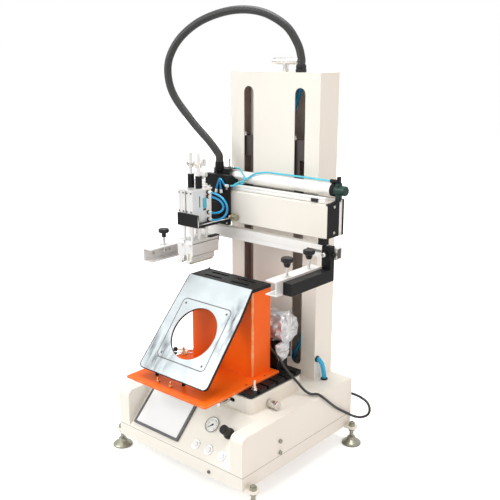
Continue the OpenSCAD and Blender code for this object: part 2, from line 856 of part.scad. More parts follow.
module lift_guides() {
    side = column_width / 2 - column_sheet;
    head_top = guide_head_z + guide_head_h;
    color(steel) {
        for (x = [-1, 1])
            rod_z(deck_z + guide_foot, guide_head_z, x * guide_spacing / 2, guide_y, guide_rod);
        block([-side + 10, guide_y - 16, deck_z], [side - 10, lift_y + 24, deck_z + guide_foot]);
        difference() {
            block([-side, guide_y - 16, guide_head_z], [side, lift_y + 24, head_top]);
            rod_z(guide_head_z - eps, head_top + eps, stop_x, stop_y, stop_screw + 2 * run);
        }
    }
    color(silver) difference() {
        rod_z(deck_z + guide_foot, lift_top, 0, lift_y, lift_barrel);
        rod_z(lift_top - lift_hold - 20, lift_top + eps, 0, lift_y, lift_rod + 2 * run);
    }
}

module height_handle() color(steel) {
    hub_z = column_top + cap_thickness;
    bar_z0 = hub_z + 31;
    rod_z(stop_end_z, bar_z0, stop_x, stop_y, stop_screw);
    translate([stop_x, stop_y, hub_z]) rotate_extrude() polygon([
        [0, 0], [10, 0], [10, 6], [8, 9], [8.5, 24], [0, 24]]);
    translate([stop_x, stop_y, bar_z0]) rotate([0, 0, 8]) translate([-stop_bar / 2, 0, 0])
        rotate([0, 90, 0]) rotate_extrude() polygon([
            [0, 0], [6, 0], [9.5, 4], [10.5, 14], [10.5, stop_bar - 14], [9.5, stop_bar - 4],
            [6, stop_bar], [0, stop_bar]]);
}

module lift_slider() color(black) {
    plate_y = column_front + column_sheet + 7;
    for (side = [-1, 1]) {
        x = side * slot_spacing / 2;
        g = side * guide_spacing / 2;
        block([x - 12, back_rear, slider_z + 10], [x + 12, plate_y + eps, slider_z + 100]);
        for (z = [slider_z, slider_z + slider_h - 45]) difference() {
            block([g - 22, plate_y, z], [g + 22, guide_y + 17, z + 45]);
            rod_z(z - eps, z + 45 + eps, g, guide_y, guide_rod + 2 * run);
        }
    }
    difference() {
        block([-guide_spacing / 2 - 22, plate_y, slider_z],
            [guide_spacing / 2 + 22, plate_y + 9, slider_z + slider_h]);
        for (side = [-1, 1])
            block([side * guide_spacing / 2 - 18, plate_y - eps, slider_z + 125],
                [side * guide_spacing / 2 + 18, plate_y + 9 + eps, slider_z + 195]);
        block([-60, plate_y - eps, slider_z + 60], [60, plate_y + 9 + eps, slider_z + 190]);
        for (side = [-1, 1], z = [slider_z, slider_z + slider_h - 45])
            rod_z(z - eps, z + 45 + eps, side * guide_spacing / 2, guide_y, guide_rod + 2 * run);
    }
    block([-30, plate_y, slider_z], [30, lift_y + 20, slider_z + 12]);
    rod_z(lift_top - lift_hold, slider_z + eps, 0, lift_y, lift_rod);
}

// Slotted table and fixture

module table_top() color(black) {
    front = stage_y - table_depth / 2 + 1;
    back = stage_y + table_depth / 2 + 1;
    mid = stage_y + 1;
    along_x(-table_width / 2, table_width / 2) difference() {
        polygon([[front, table_z], [back, table_z], [back, table_top_z], [front, table_top_z]]);
        for (k = [-2 : 2]) translate([mid + k * slot_pitch, table_top_z]) polygon([
            [-slot_mouth / 2, eps], [-slot_mouth / 2, -4], [-slot_mouth / 2 - 3, -4],
            [-slot_mouth / 2 - 3, -8], [slot_mouth / 2 + 3, -8], [slot_mouth / 2 + 3, -4],
            [slot_mouth / 2, -4], [slot_mouth / 2, eps]]);
    }
    difference() {
        block([-block_w / 2, stage_y - block_d / 2, upper_z],
            [block_w / 2, stage_y + block_d / 2, table_z]);
        for (side = [-1, 1])
            along_y(stage_y - block_d, stage_y + block_d)
                stage_groove_outline(side * upper_rail_x, saddle_top);
        rod_y(stage_y - block_d / 2 - eps, stage_y - block_d / 2 + 60, y_screw_x, y_screw_z,
            stage_screw + 2 * run);
    }
}

module fixture_plate() color(orange) difference() {
    translate([plate_x, plate_front + plate_depth / 2, plate_z])
        linear_extrude(plate_thickness) rounded(plate_width, plate_depth, 3);
    for (x = [-1, 1], y = [0, 2]) rod_z(plate_z - eps, plate_z + plate_thickness + eps,
        plate_x + x * 148, stage_y + 1 - y * slot_pitch, 9);
}

module fixture_upright() color(orange) {
    t = upright_sheet;
    half = upright_width / 2;
    difference() {
        translate([upright_x, upright_front + upright_depth, upright_z])
            linear_extrude(upright_height) rounded(upright_width, 2 * upright_depth, upright_bend);
        translate([upright_x, upright_front + upright_depth, upright_z - eps])
            linear_extrude(upright_height + 2 * eps)
            rounded(upright_width - 2 * t, 2 * (upright_depth - t), upright_bend - t);
        block([upright_x - half - eps, upright_front + upright_depth, upright_z - eps],
            [upright_x + half + eps, upright_front + 3 * upright_depth, upright_top + eps]);
    }
    for (side = [-1, 1], z = [upright_z, upright_top - t])
        translate([upright_x + side * (half - t - 9), upright_front + upright_depth / 2, z])
            linear_extrude(t) difference() {
                square([18.2, upright_depth - 20], center = true);
                for (y = [-1, 1]) translate([0, y * 18]) circle(d = 6.6);
            }
}

module fixture_top() color(black) difference() {
    block([head_plate_x - head_plate_width / 2, upright_front, upright_top],
        [head_plate_x + head_plate_width / 2, upright_front + upright_depth, head_plate_top]);
    for (side = [-1, 1]) {
        translate([head_plate_x + side * 52, upright_front + 24, head_plate_top - 4])
            linear_extrude(4 + eps) rounded(70, 9, 4.4);
        translate([head_plate_x + side * 52, upright_front + 56, head_plate_top - 4])
            linear_extrude(4 + eps) rounded(70, 9, 4.4);
    }
    rod_z(upright_top - eps, head_plate_top + eps, stop_pin_x, stop_pin_y, stop_pin + 2 * run);
}

// Left edge leans outwards, the right edge steps out and runs straight down
module slant_outline(inset) {
    r = slant_radius;
    low = -slant_length + inset;
    top_l = slant_x - slant_width / 2 + inset;
    lean = atan((slant_flare - slant_step_w) / slant_length);
    low_l = top_l - (slant_length - inset) * tan(lean);
    right = slant_x + slant_width / 2 + slant_step_w - inset;
    corner = low_l + r * tan(lean) + r / cos(lean);
    polygon([
        [top_l, 0], [corner - r * cos(lean), low + r + r * sin(lean)], [corner, low],
        [right - r, low], [right, low + r], [right, -slant_step], [right - slant_step_w, 0]]);
    translate([corner, low + r]) circle(r);
    translate([right - r, low + r]) circle(r);
}

module slant_plate() color(black) {
    difference() {
        on_slant() translate([0, 0, -slant_stack]) linear_extrude(slant_thickness) difference() {
            slant_outline(0);
            translate([hole_x, -hole_s]) circle(d = slant_hole);
        }
        block([-slant_width, upright_front, slant_edge_z - 60],
            [slant_width, upright_front + 40, slant_edge_z + 20]);
    }
    difference() {
        for (x = post_x)
            rod_z(upright_z, slant_edge_z, x, slant_edge_y - post_s * cos(slant_angle), post_d);
        on_slant() translate([-slant_width, -2 * slant_length, -slant_stack + 0.4])
            cube([2 * slant_width, 3 * slant_length, 2 * slant_length]);
    }
}

module slant_panel() color(silver) difference() {
    on_slant() translate([0, 0, -skin_thickness]) linear_extrude(skin_thickness) difference() {
        slant_outline(0.6);
        translate([hole_x, -hole_s]) circle(d = slant_hole);
        for (x = [-1, 1], y = [-1, 1])
            translate([hole_x + x * skin_screw_pitch / 2, -hole_s + y * skin_screw_pitch / 2])
                circle(d = 4.5);
    }
    on_slant() translate([hole_x, -hole_s, -0.5]) linear_extrude(1) difference() {
        rounded(panel_seam, panel_seam, 16);
        rounded(panel_seam - 2 * panel_seam_w, panel_seam - 2 * panel_seam_w, 16 - panel_seam_w);
    }
    block([-slant_width, upright_front, slant_edge_z - 60],
        [slant_width, upright_front + 40, slant_edge_z + 20]);
}

module fixture_bolts() color(brass) {
    for (x = [-77, -24]) translate([x, plate_front + 30, upright_z]) {
        cylinder(h = 16, d = 6);
        hex(10, 5);
    }
    translate([160, stage_y + 1 - 2 * slot_pitch, table_top_z]) {
        cylinder(h = 3, d = 18);
        translate([0, 0, 3]) hex(13, 7);
        cylinder(h = 30, d = 8);
    }
    translate([-168, stage_y + 1 - slot_pitch, table_top_z + plate_thickness]) {
        cylinder(h = 3, d = 18);
        translate([0, 0, 3]) hex(13, 7);
        cylinder(h = 24, d = 8);
    }
    rod_z(upright_top, head_plate_top + 4, stop_pin_x, stop_pin_y, stop_pin);
}

// Work drive

module gearbox() color(black) {
    x0 = motor_x + 20;
    difference() {
        union() {
            block([x0, motor_y - 45, table_top_z + 32], [x0 + 46, motor_y + 15, table_top_z + 84]);
            rod_x(x0 - 22, x0 + 46, motor_y - 15, table_top_z + 54, 36);
        }
        rod_x(x0 - 40, x0 + 80, motor_y, motor_z, motor_diameter + 2 * free);
    }
    difference() {
        block([x0 + 2, motor_y - 44, table_top_z], [x0 + 40, motor_y + 6, table_top_z + 32]);
        rod_y(motor_y - 45, motor_y + 7, x0 + 21, table_top_z + 3, 12);
    }
}

module wrapped_motor() color(silver) translate([motor_x - motor_length / 2, motor_y, motor_z])
    rotate([0, 90, 0]) rotate_extrude() polygon([
        [0, 0], [motor_diameter / 2 - 14, 0], [motor_diameter / 2 - 3, 9],
        [motor_diameter / 2, 22], [motor_diameter / 2, motor_length - 20],
        [motor_diameter / 2 - 2, motor_length - 8], [motor_diameter / 2 - 10, motor_length],
        [0, motor_length]]);

// Print head

module head_plate() color(black) difference() {
    block([-beam_end, back_front, head_height], [beam_end, back_rear, beam_top]);
    for (side = [-1, 1], z = [22, 81])
        rod_y(back_front - eps, back_front + 5, side * slot_spacing / 2, head_height + z, 12);
}

module beam_rail() {
    color(silver) along_x(-beam_end, beam_end) difference() {
        polygon([[rail_front, head_height], [back_front, head_height],
            [back_front, beam_top], [rail_front, beam_top]]);
        for (z = [head_height - eps, beam_top - 8])
            translate([(rail_front + back_front) / 2 - 3, z]) square([6, 8 + eps]);
    }
    color(steel) along_x(-half_beam + 6, half_beam - 6) translate([rail_y, rail_z]) polygon([
        [-slide_rail / 2, 0], [slide_rail / 2, 0], [slide_rail / 2, 4], [slide_rail / 2 - 1.5, 6],
        [slide_rail / 2 - 1.5, 8], [slide_rail / 2, 10], [slide_rail / 2, rail_top - rail_z],
        [-slide_rail / 2, rail_top - rail_z], [-slide_rail / 2, 10], [-slide_rail / 2 + 1.5, 8],
        [-slide_rail / 2 + 1.5, 6], [-slide_rail / 2, 4]]);
}

module beam_cover() color(ivory) {
    t = beam_sheet;
    edge = beam_top - face_drop;
    along_x(-half_beam, half_beam) difference() {
        polygon([
            [cover_front, head_height + 2], [cover_front + 2, head_height],
            [rail_front, head_height], [rail_front, rail_z], [cover_front + 7, rail_z],
            [cover_front + 4, edge], [cover_front, edge]]);
        polygon([
            [cover_front + t, head_height + t], [rail_front - t, head_height + t],
            [rail_front - t, rail_z - t], [cover_front + 8 + t, rail_z - t],
            [cover_front + 5 + t, edge - t], [cover_front + t, edge - t]]);
    }
    along_x(-beam_end, beam_end) translate([cover_front, head_height + 2])
        square([t, edge - head_height - 2]);
}

module beam_ends() color(black) {
    inner = cover_front + beam_sheet;
    tube_end = half_beam - end_cap_in;
    for (side = [-1, 1]) mirror([side < 0 ? 1 : 0, 0, 0]) {
        difference() {
            along_x(half_beam, beam_end) polygon([
                [inner, head_height], [rail_front, head_height], [rail_front, beam_top + 1],
                [inner, beam_top - face_drop]]);
            for (z = [13, beam_height - 16])
                rod_x(beam_end - 1.5, beam_end + eps, rail_front - 24, head_height + z, 9);
        }
        along_x(beam_end - 4, beam_end + 4) {
            translate([tube_y - 12, beam_top - 4]) square([rail_front - tube_y + 12, 5]);
            translate([tube_y - 12, beam_top]) square([22, tube_z + 20 - beam_top]);
        }
        translate([tube_end, tube_y, tube_z]) rotate([0, 90, 0]) rotate_extrude() polygon([
            [0, 0], [tube_diameter / 2 + 1, 0], [tube_diameter / 2 + 1, 9],
            [tube_diameter / 2 - 4, 14], [tube_diameter / 2 - 4, 44], [tube_diameter / 2 - 7, 47],
            [0, 47]]);
    }
    along_x(beam_end - 4, beam_end + 4) translate([tube_y - 6, tube_z])
        square([10, 38]);
    rod_x(fitting_x, beam_end - 4 + eps, tube_y, tube_z + 24, 11);
    rod_z(tube_z, tube_z + 40, -beam_end + 10, tube_y, 18);
}

module stroke_cylinder() color(silver)
    rod_x(-half_beam + end_cap_in, half_beam - end_cap_in, tube_y, tube_z, tube_diameter);

module frame_bar() color(silver) {
    difference() {
        along_x(-bar_length / 2, bar_length / 2) difference() {
            translate([bar_y, bar_z]) square([bar_depth, bar_height]);
            translate([bar_y + bar_wall, bar_z + bar_wall])
                square([bar_depth - 2 * bar_wall, bar_height - 2 * bar_wall]);
            translate([bar_y - eps, bar_slot_z]) square([bar_wall + 2 * eps, bar_slot]);
        }
    }
    for (side = [-1, 1])
        block([side < 0 ? -bar_length / 2 + 2 : bar_length / 2 - 6, bar_y + bar_wall - eps,
            bar_z + bar_wall - eps],
            [side < 0 ? -bar_length / 2 + 6 : bar_length / 2 - 2, bar_y + bar_depth - bar_wall + eps,
            bar_z + bar_height - bar_wall + eps]);
    for (side = [-1, 1])
        block([side * hanger_x - hanger_w / 2, cover_front, bar_z + bar_height - eps],
            [side * hanger_x + hanger_w / 2, bar_y + bar_depth, head_height]);
}

head_tube_points = [
    [fitting_x, tube_y, tube_z + 24], [fitting_x - 10, tube_y, tube_z + 24],
    [200, tube_y, tube_z + 24], [130, tube_y + 2, tube_z + 24], [60, tube_y + 2, tube_z + 24],
    [14, tube_y, tube_z + 24], [-8, tube_y - 8, tube_z + 22], [-26, tube_y - 15, tube_z + 18],
    [-50, tube_y - 23, tube_z + 3], [-66, rail_y + 11, rail_top + 10], [-75, rail_y + 1, rail_top + 6],
    [-76, rail_y - 9, rail_top + 3], [-71, plate_fore + 10, rail_top + 1],
    [-75, plate_fore + 5, rail_top], [carriage_right + 5, plate_fore + 5, rail_top]];

module head_tube() color(blue) sweep_tube(head_tube_points, 2, 6, 8, [0, 0, 1]);

// Carriage

module carriage_plate() color(black) {
    difference() {
        block([carriage_left, plate_fore, plate_low], [carriage_right, plate_rear, block_top]);
        block([carriage_left - eps, plate_fore - eps, plate_low + 65],
            [carriage_right - 6, plate_fore + 1, plate_low + 66.5]);
    }
    difference() {
        block([tray_left, tray_front, tray_z], [tray_right, plate_fore + eps, unit_z]);
        for (x = [flood_x, squeegee_x], k = [-1, 0, 1])
            rod_z(tray_z - eps, unit_z + eps, x, rod_y + k * guide_pitch / 2,
                (k == 0 ? blade_rod : guide_pin) + 2 * free);
        block([tray_left + 14, unit_back + 12, tray_z - eps],
            [tray_right - 14, plate_fore - 12, unit_z + eps]);
    }
    block([tray_left, tray_front, unit_z - eps], [tray_right, unit_front - free, unit_z + 30]);
    for (u = [[flood_x, 40], [squeegee_x, 36]]) difference() {
        rod_z(cap_top, cap_top + u[1], u[0], rod_y, 20);
        rod_z(cap_top - eps, cap_top + u[1] + eps, u[0], rod_y, blade_rod + 2 * run);
    }
    rod_x(carriage_right - eps, carriage_right + 5, plate_fore + 5, rail_top, 9);
    rod_x(carriage_right - eps, carriage_right + 14, plate_fore + 4, tray_z + 12, 7);
    rod_x(carriage_right + 12, carriage_right + 32, plate_fore + 4, tray_z + 12, 19);
}

module carriage_block() color(black) {
    bottom = beam_top + 2;
    difference() {
        union() {
            along_x(carriage_left, carriage_right) polygon([
                [plate_rear, bottom], [plate_rear + block_depth, bottom],
                [plate_rear + block_depth, block_top - block_slope], [plate_rear + 6, block_top],
                [plate_rear, block_top]]);
            block([carriage_left, plate_rear + block_depth - eps, bottom],
                [seat_right, block_rear, seat_top]);
        }
        along_x(carriage_left - eps, carriage_right + eps)
            translate([rail_y - slide_rail / 2 - free, bottom - eps])
            square([slide_rail + 2 * free, rail_top - bottom + free + eps]);
        rod_x(carriage_left - eps, carriage_right + eps, tube_y, tube_z, tube_diameter + 2 * run);
    }
    translate([hose_x, hose_y, block_top]) {
        rotate_extrude() polygon([
            [0, -18], [11, -18], [11, 3], [13, 3], [14, 6], [14, 18], [hose_d / 2 + 1, hose_rise], [0, hose_rise]]);
    }
}

module blade_unit(x0, x1, x) difference() {
    union() {
        block([x0, unit_front, unit_z], [x1, unit_back, unit_top]);
        block([x0 - 1.5, unit_front - 3, unit_top - eps], [x1 + 1.5, unit_back + 3, cap_top]);
    }
    rod_z(unit_z - eps, cap_top + eps, x, rod_y, blade_rod + 2 * run);
    for (side = [-1, 1])
        rod_z(unit_z - eps, unit_top - 6, x, rod_y + side * guide_pitch / 2, guide_pin + 2 * run);
    for (z = [unit_z + 34, unit_z + 66])
        block([x0 - eps, unit_front - eps, z], [x1 + eps, unit_front + 1.5, z + 5]);
}

module squeegee_cylinders() color(silver) {
    blade_unit(flood_x - unit_half, flood_x + unit_half, flood_x);
    blade_unit(squeegee_x - unit_half, squeegee_x + unit_half - 1, squeegee_x);
    for (z = loop_outer) rod_x(loop_x - 10, loop_x, loop_y, z, 9);
    for (z = loop_inner) rod_x(loop_x - 10, loop_x, loop_y, z, 9);
}

module loop_tube(z, x1) {
    r = (z[1] - z[0]) / 2;
    translate([x1, loop_y, (z[0] + z[1]) / 2]) rotate([90, 0, 0]) rotate([0, 0, -90])
        rotate_extrude(angle = 180) translate([r, 0]) circle(d = 6);
    for (h = z) rod_x(loop_x, x1, loop_y, h, 6);
}

module carriage_tubes() color(blue) {
    loop_tube(loop_outer, loop_x + 26);
    loop_tube(loop_inner, loop_x + 28);
    for (p = [[-132, -121], [-111, -113]])
        strut([p[0], plate_fore - 3 - free, block_top - 47],
            [p[1], plate_fore - 3 - free, block_top - 12], 6);
}

// Squeegee and flood holders

module holder(x) {
    h = holder_width / 2;
    low = holder_top - holder_h;
    step = holder_top - holder_step;
    grip = rubber_thickness / 2 + free / 2;
    difference() {
        union() {
            along_y(holder_front, holder_front + holder_length) translate([x, 0]) polygon([
                [-h, holder_top], [-h, step + 3], [-h + 3, step], [h - 3, step], [h, step + 3],
                [h, holder_top - 8], [h - 2, holder_top - 10], [h - 2, holder_top]]);
            along_y(holder_front, holder_front + blade_length) translate([x, 0]) polygon([
                [-h + 5, step + eps], [-h + 5, low], [h - 5, low], [h - 5, step + eps]]);
        }
        along_y(holder_front - eps, holder_front + blade_length + eps)
            translate([x - grip, low - eps]) square([2 * grip, 26 + eps]);
        for (side = [-1, 1], z = [low + 8, holder_top - 15])
            rod_y(holder_front - eps, holder_front + holder_length + eps,
                x + side * (z > step ? h : h - 5), z, 3.6);
    }
    for (z = [low + 1, holder_top - 12])
        along_y(holder_front - 8, holder_front + eps) translate([x, z]) rounded(19, 11, 4);
    for (k = [-1, 1]) rod_z(holder_top - eps, unit_top - 14, x, rod_y + k * guide_pitch / 2, guide_pin);
    rod_z(holder_top - eps, rod_end, x, rod_y, blade_rod);
}

module squeegee_holder() color(silver) {
    holder(squeegee_x);
    block([squeegee_x, holder_front + holder_length - 36, holder_top - eps],
        [squeegee_x + holder_width / 2, holder_front + holder_length, holder_top + 3]);
    block([squeegee_x, holder_front + holder_length - eps, holder_top - 16],
        [squeegee_x + holder_width / 2, holder_front + holder_length + 3, holder_top + 3]);
}

module squeegee_blade() color([0.75, 0.6, 0.3]) {
    low = holder_top - holder_h;
    block([squeegee_x - rubber_thickness / 2, holder_front + 1, low - 7],
        [squeegee_x + rubber_thickness / 2, holder_front + blade_length, low + 25]);
}

module flood_holder() color(silver) {
    low = holder_top - holder_h;
    grip = (rubber_thickness + free) / 2;
    holder(flood_x);
    block([flood_x - grip, holder_front, low + 8],
        [flood_x + grip, holder_front + blade_length, low + 26]);
    block([flood_x - 1, holder_front, low - 5],
        [flood_x + 1, holder_front + blade_length, low + 10]);
}

module wing_nut(x, turn) color(silver) translate([x, rod_y, nut_z]) rotate([0, 0, turn])
    difference() {
        union() {
            cylinder(h = 10, d1 = 18, d2 = 15);
            for (side = [-1, 1]) translate([side * 9.5, 1.5, 0]) rotate([90, 0, 0])
                linear_extrude(3) polygon([
                    [-side * 4, 1], [side * 3, 6], [side * 5, 14], [side * 2.5, 17],
                    [-side * 1, 13], [-side * 4, 8]]);
        }
        translate([0, 0, -eps]) cylinder(h = 20, d = blade_rod + 2 * run);
    }

module wing_nut_squeegee() wing_nut(squeegee_x, 60);
module wing_nut_flood() wing_nut(flood_x, 75);

// Screen clamps

module clamp_channel(x0, open_side, front, knobs) difference() {
    w = channel_width;
    t = channel_wall;
    along_y(front, channel_rear) translate([x0, channel_z]) difference() {
        square([w, channel_height]);
        translate([open_side > 0 ? t : -eps, t]) square([w - t + eps, channel_height - 2 * t]);
    }
    for (k = knobs) rod_z(clamp_top - t - eps, clamp_top + eps, k[0], k[1], clamp_screw + 2 * run);
}

left_knobs = [[left_knob_x, channel_rear - 117]];
right_knobs = [[right_knob_x, channel_rear - 140], [right_knob_x, channel_rear - 43]];

module left_channel() color(silver) clamp_channel(left_out, 1, channel_front, left_knobs);
module right_channel() color(silver) clamp_channel(right_in, -1, right_front, right_knobs);

// Bolt through an arm into the slot of the frame bar
module bar_bolt(x) {
    z = bar_slot_z + bar_slot / 2;
    rod_y(channel_rear - 7, channel_rear, x, z, 13);
    rod_y(channel_rear - eps, bar_y + bar_wall + 2, x, z, bar_slot - 2 * free);
    block([x - 8, bar_y + bar_wall + free, z - 7], [x + 8, bar_y + bar_wall + 6, z + 7]);
}

module left_arm() color(silver) {
    top = bar_z + bar_height;
    difference() {
        block([left_out + 2, channel_rear, channel_z], [left_out + channel_width, bar_y, top]);
        block([left_out + 10, channel_rear + 6, channel_z - eps],
            [left_out + channel_width + eps, bar_y - 4, clamp_top]);
    }
    bar_bolt(left_out + 19);
}

module right_arm() color(black) {
    front = channel_rear - 174;
    leg_x = arm_x - 2;
    difference() {
        block([leg_x, channel_rear, channel_z], [leg_x + leg_w, bar_y, bar_z + bar_height + 6]);
        block([leg_x + 4, channel_rear - eps, bar_z + bar_height], [leg_x + 12, bar_y + eps, bar_z + 60]);
    }
    along_y(front, channel_rear + eps) translate([arm_x, channel_z]) polygon([
        [0, 0], [arm_width, 0], [arm_width, channel_height - 6], [0, channel_height - 6]]);
    bar_bolt(leg_x + 13);
    rod_x(leg_x + leg_w, leg_x + leg_w + 8, channel_rear + 9, bar_slot_z + 4, 12);
}

module clamp_knob(p, lift, neck) color(black) translate([p[0], p[1], 0]) {
    z = clamp_top + lift;
    translate([0, 0, channel_z + channel_wall + 16]) cylinder(h = 4, d = 15);
    rod_z(channel_z + channel_wall + 18, z, 0, 0, clamp_screw);
    difference() {
        translate([0, 0, z]) rotate_extrude() polygon([
            [0, 0], [7, 0], [neck, 12], [knob_size / 2 - 2, 14], [knob_size / 2, 16],
            [knob_size / 2, 24], [knob_size / 2 - 2, 26], [0, 26]]);
        for (k = [0 : 5]) rotate(k * 60) translate([knob_size / 2 + 5, 0, z + 4])
            cylinder(h = 30, d = 14);
    }
}

module left_knob() clamp_knob(left_knobs[0], 24, 7);
module right_knob_front() clamp_knob(right_knobs[0], 26, 11);
module right_knob_rear() clamp_knob(right_knobs[1], 28, 11);

// Cords

module air_tube() color(blue) sweep_tube(air_points, 1, air_d, 12, [0, 1, 0]);
module conduit_hose() color(black) sweep_tube(hose_points, 2, hose_d, 12, [0, 1, 0]);
module motor_cable() color(black) sweep_tube(cable_points, 2, cable_d, 8, [0, 0, 1]);

base_pan();
base_cover();
case_fittings();
foot_fl();
foot_fr();
foot_rl();
foot_rr();
touch_screen();
pressure_gauge();
gauge_needle();
panel_fittings();
button_left();
button_middle();
button_right();
regulator_knob();
plinth();
stage_base();
stage_saddle();
x_knob();
y_knob();
column_shell();
column_cap();
lift_guides();
height_handle();
air_tube();
conduit_hose();
motor_cable();
table_top();
fixture_plate();
fixture_upright();
fixture_top();
slant_plate();
slant_panel();
fixture_bolts();
gearbox();
wrapped_motor();
lift_slider();
head_plate();
beam_rail();
beam_cover();
beam_ends();
stroke_cylinder();
frame_bar();
head_tube();
carriage_plate();
carriage_block();
squeegee_cylinders();
carriage_tubes();
squeegee_holder();
squeegee_blade();
wing_nut_squeegee();
flood_holder();
wing_nut_flood();
left_arm();
left_channel();
right_arm();
right_channel();
left_knob();
right_knob_front();
right_knob_rear();
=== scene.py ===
# %% [markdown]
# # A tabletop screen printer, dressed for the camera
#
# The machine's solids come from its CAD model. Each moving body is already in place, so this
# script never moves them. It gives every solid a real finish, and it replaces the solids that a
# plain CAD shape can't show well, such as hoses, crumpled foil and knurled knobs.
#
# The first cell loads the model.

# %% Load the imported model
import math

import bmesh
import bpy
import numpy as np
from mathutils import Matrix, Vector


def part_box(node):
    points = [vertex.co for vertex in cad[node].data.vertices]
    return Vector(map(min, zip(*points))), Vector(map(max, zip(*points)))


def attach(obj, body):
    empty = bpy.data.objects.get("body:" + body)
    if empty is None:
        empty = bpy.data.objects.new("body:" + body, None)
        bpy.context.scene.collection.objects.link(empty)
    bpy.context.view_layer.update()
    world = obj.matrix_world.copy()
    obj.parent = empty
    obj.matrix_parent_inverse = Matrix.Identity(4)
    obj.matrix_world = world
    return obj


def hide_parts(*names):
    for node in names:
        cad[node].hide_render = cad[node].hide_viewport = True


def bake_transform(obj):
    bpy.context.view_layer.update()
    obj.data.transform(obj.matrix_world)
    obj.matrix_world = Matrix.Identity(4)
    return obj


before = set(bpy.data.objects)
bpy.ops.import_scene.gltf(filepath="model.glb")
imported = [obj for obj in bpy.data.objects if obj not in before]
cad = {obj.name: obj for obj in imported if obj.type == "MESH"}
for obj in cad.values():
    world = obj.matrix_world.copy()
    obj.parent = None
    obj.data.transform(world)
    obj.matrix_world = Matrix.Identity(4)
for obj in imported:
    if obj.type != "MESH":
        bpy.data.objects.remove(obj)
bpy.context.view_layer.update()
MM = 0.001

# %% [markdown]
# ## The camera
#
# The camera stands where the photographer stood: about two metres from the machine, in front of
# it and to its right, nearly as high as the arch of its hose and looking down by 15 degrees. Its
# place was worked out from edges whose real direction is known, such as the column's corners.

# %% Camera
lens = bpy.data.cameras.new("camera")
lens.sensor_width = 36
lens.lens = 54.586
camera = bpy.data.objects.new("camera", lens)
camera.location = (1.44115, -1.60797, 1.19946)
camera.rotation_euler = (math.radians(75.27), 0, math.radians(40.77))
bpy.context.scene.collection.objects.link(camera)
bpy.context.scene.camera = camera
print("camera at", tuple(round(v, 3) for v in camera.location))

# %% [markdown]
# ## Shapes from formulas
#
# Every new piece is a surface: points laid out on a grid whose two directions are two
# parameters, such as "along" and "around". A first helper turns such a grid into faces.

# %% Faces over a grid
def grid(points, closed=False, caps=False):
    """Points, quads and end faces over points[i, j]: i runs along, j runs across. closed joins
    the last j to the first, and caps fills both end rings."""
    points = np.asarray(points, float)
    rows, cols = points.shape[:2]
    i, j = np.meshgrid(np.arange(rows - 1), np.arange(cols - (not closed)), indexing="ij")
    k = (j + 1) % cols
    quads = np.stack([i * cols + j, i * cols + k, (i + 1) * cols + k, (i + 1) * cols + j], -1)
    ends = [np.arange(cols)[::-1], np.arange((rows - 1) * cols, rows * cols)] if caps else []
    return points.reshape(-1, 3), quads.reshape(-1, 4), ends

# %% [markdown]
# A piece may hold several surfaces, so a knob and its stem can be one object. Its surfaces are
# merged where they meet, its faces are turned outwards, and edges that bend by more than a few
# degrees stay sharp. Each piece then rides on one of the machine's bodies, and gets one finish.

# %% A piece from its surfaces
SEAM = 2e-6  # points of one piece that are nearer to each other than this, in metres, are merged


def piece(name, shapes, finish, body, sharp=40):
    """One object from several surfaces, each given by grid(). Edges that bend by more than sharp
    degrees stay sharp. With no body, the piece is attached to none."""
    points, faces, start = [], [], 0
    for p, quads, ends in shapes:
        faces += (quads + start).tolist() + [(end + start).tolist() for end in ends]
        points.append(p)
        start += len(p)
    mesh = bpy.data.meshes.new(name)
    mesh.from_pydata(np.concatenate(points).tolist(), [], faces)
    form = bmesh.new()
    form.from_mesh(mesh)
    bmesh.ops.remove_doubles(form, verts=form.verts, dist=SEAM)
    bmesh.ops.recalc_face_normals(form, faces=form.faces)
    form.to_mesh(mesh)
    form.free()
    mesh.shade_smooth()
    mesh.set_sharp_from_angle(angle=math.radians(sharp))
    made = bpy.data.objects.new(name, mesh)
    bpy.context.scene.collection.objects.link(made)
    mesh.materials.append(finish)
    if body:
        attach(made, body)
    return made


# %% [markdown]
# Most small parts of a machine are turned on a lathe, so they are a profile spun round an axis.

# %% Turned forms
RIGHT, FRONT, UP = (1, 0, 0), (0, -1, 0), (0, 0, 1)


def around(count):
    """Angles at an even pitch that go once round."""
    return np.linspace(0, 2 * np.pi, count, endpoint=False)


def basis(axis):
    """Two unit vectors square to the axis and to each other, and the axis itself."""
    w = np.asarray(axis, float) / np.linalg.norm(axis)
    u = np.cross(w, [0, 1, 0] if abs(w[1]) < 0.9 else [1, 0, 0])
    u /= np.linalg.norm(u)
    return u, np.cross(w, u), w


def lathe(profile, centre, axis, sides):
    """A turned form: a ring of radius r at height h along the axis, for each (r, h) in mm."""
    u, v, w = basis(axis)
    r, h = np.asarray(profile, float).T[..., None, None] * MM
    turn = around(sides)[:, None]
    points = np.asarray(centre, float) * MM + r * (np.cos(turn) * u + np.sin(turn) * v) + h * w
    return grid(points, closed=True)


# %% [markdown]
# Hoses, cables and rods are a circle carried along a path. The path is a smooth curve through a
# few given points. The circle's own direction is carried along with the path, so that it never
# twists.

# %% Paths and round bars
def curve_through(chosen, steps):
    """A smooth path through chosen points (mm): each stretch is a cubic whose slope at a point
    is half the step between its neighbours. Gives points in metres."""
    p = np.asarray(chosen, float) * MM
    q = np.concatenate([p[:1], p, p[-1:]])
    t = (np.arange(steps) / steps)[None, :, None]
    a, b, c, d = (q[k:len(q) - 3 + k, None] for k in range(4))
    path = 0.5 * (2 * b + (c - a) * t + (2 * a - 5 * b + 4 * c - d) * t**2
                  + (3 * b - a - 3 * c + d) * t**3)
    return np.concatenate([path.reshape(-1, 3), p[-1:]])


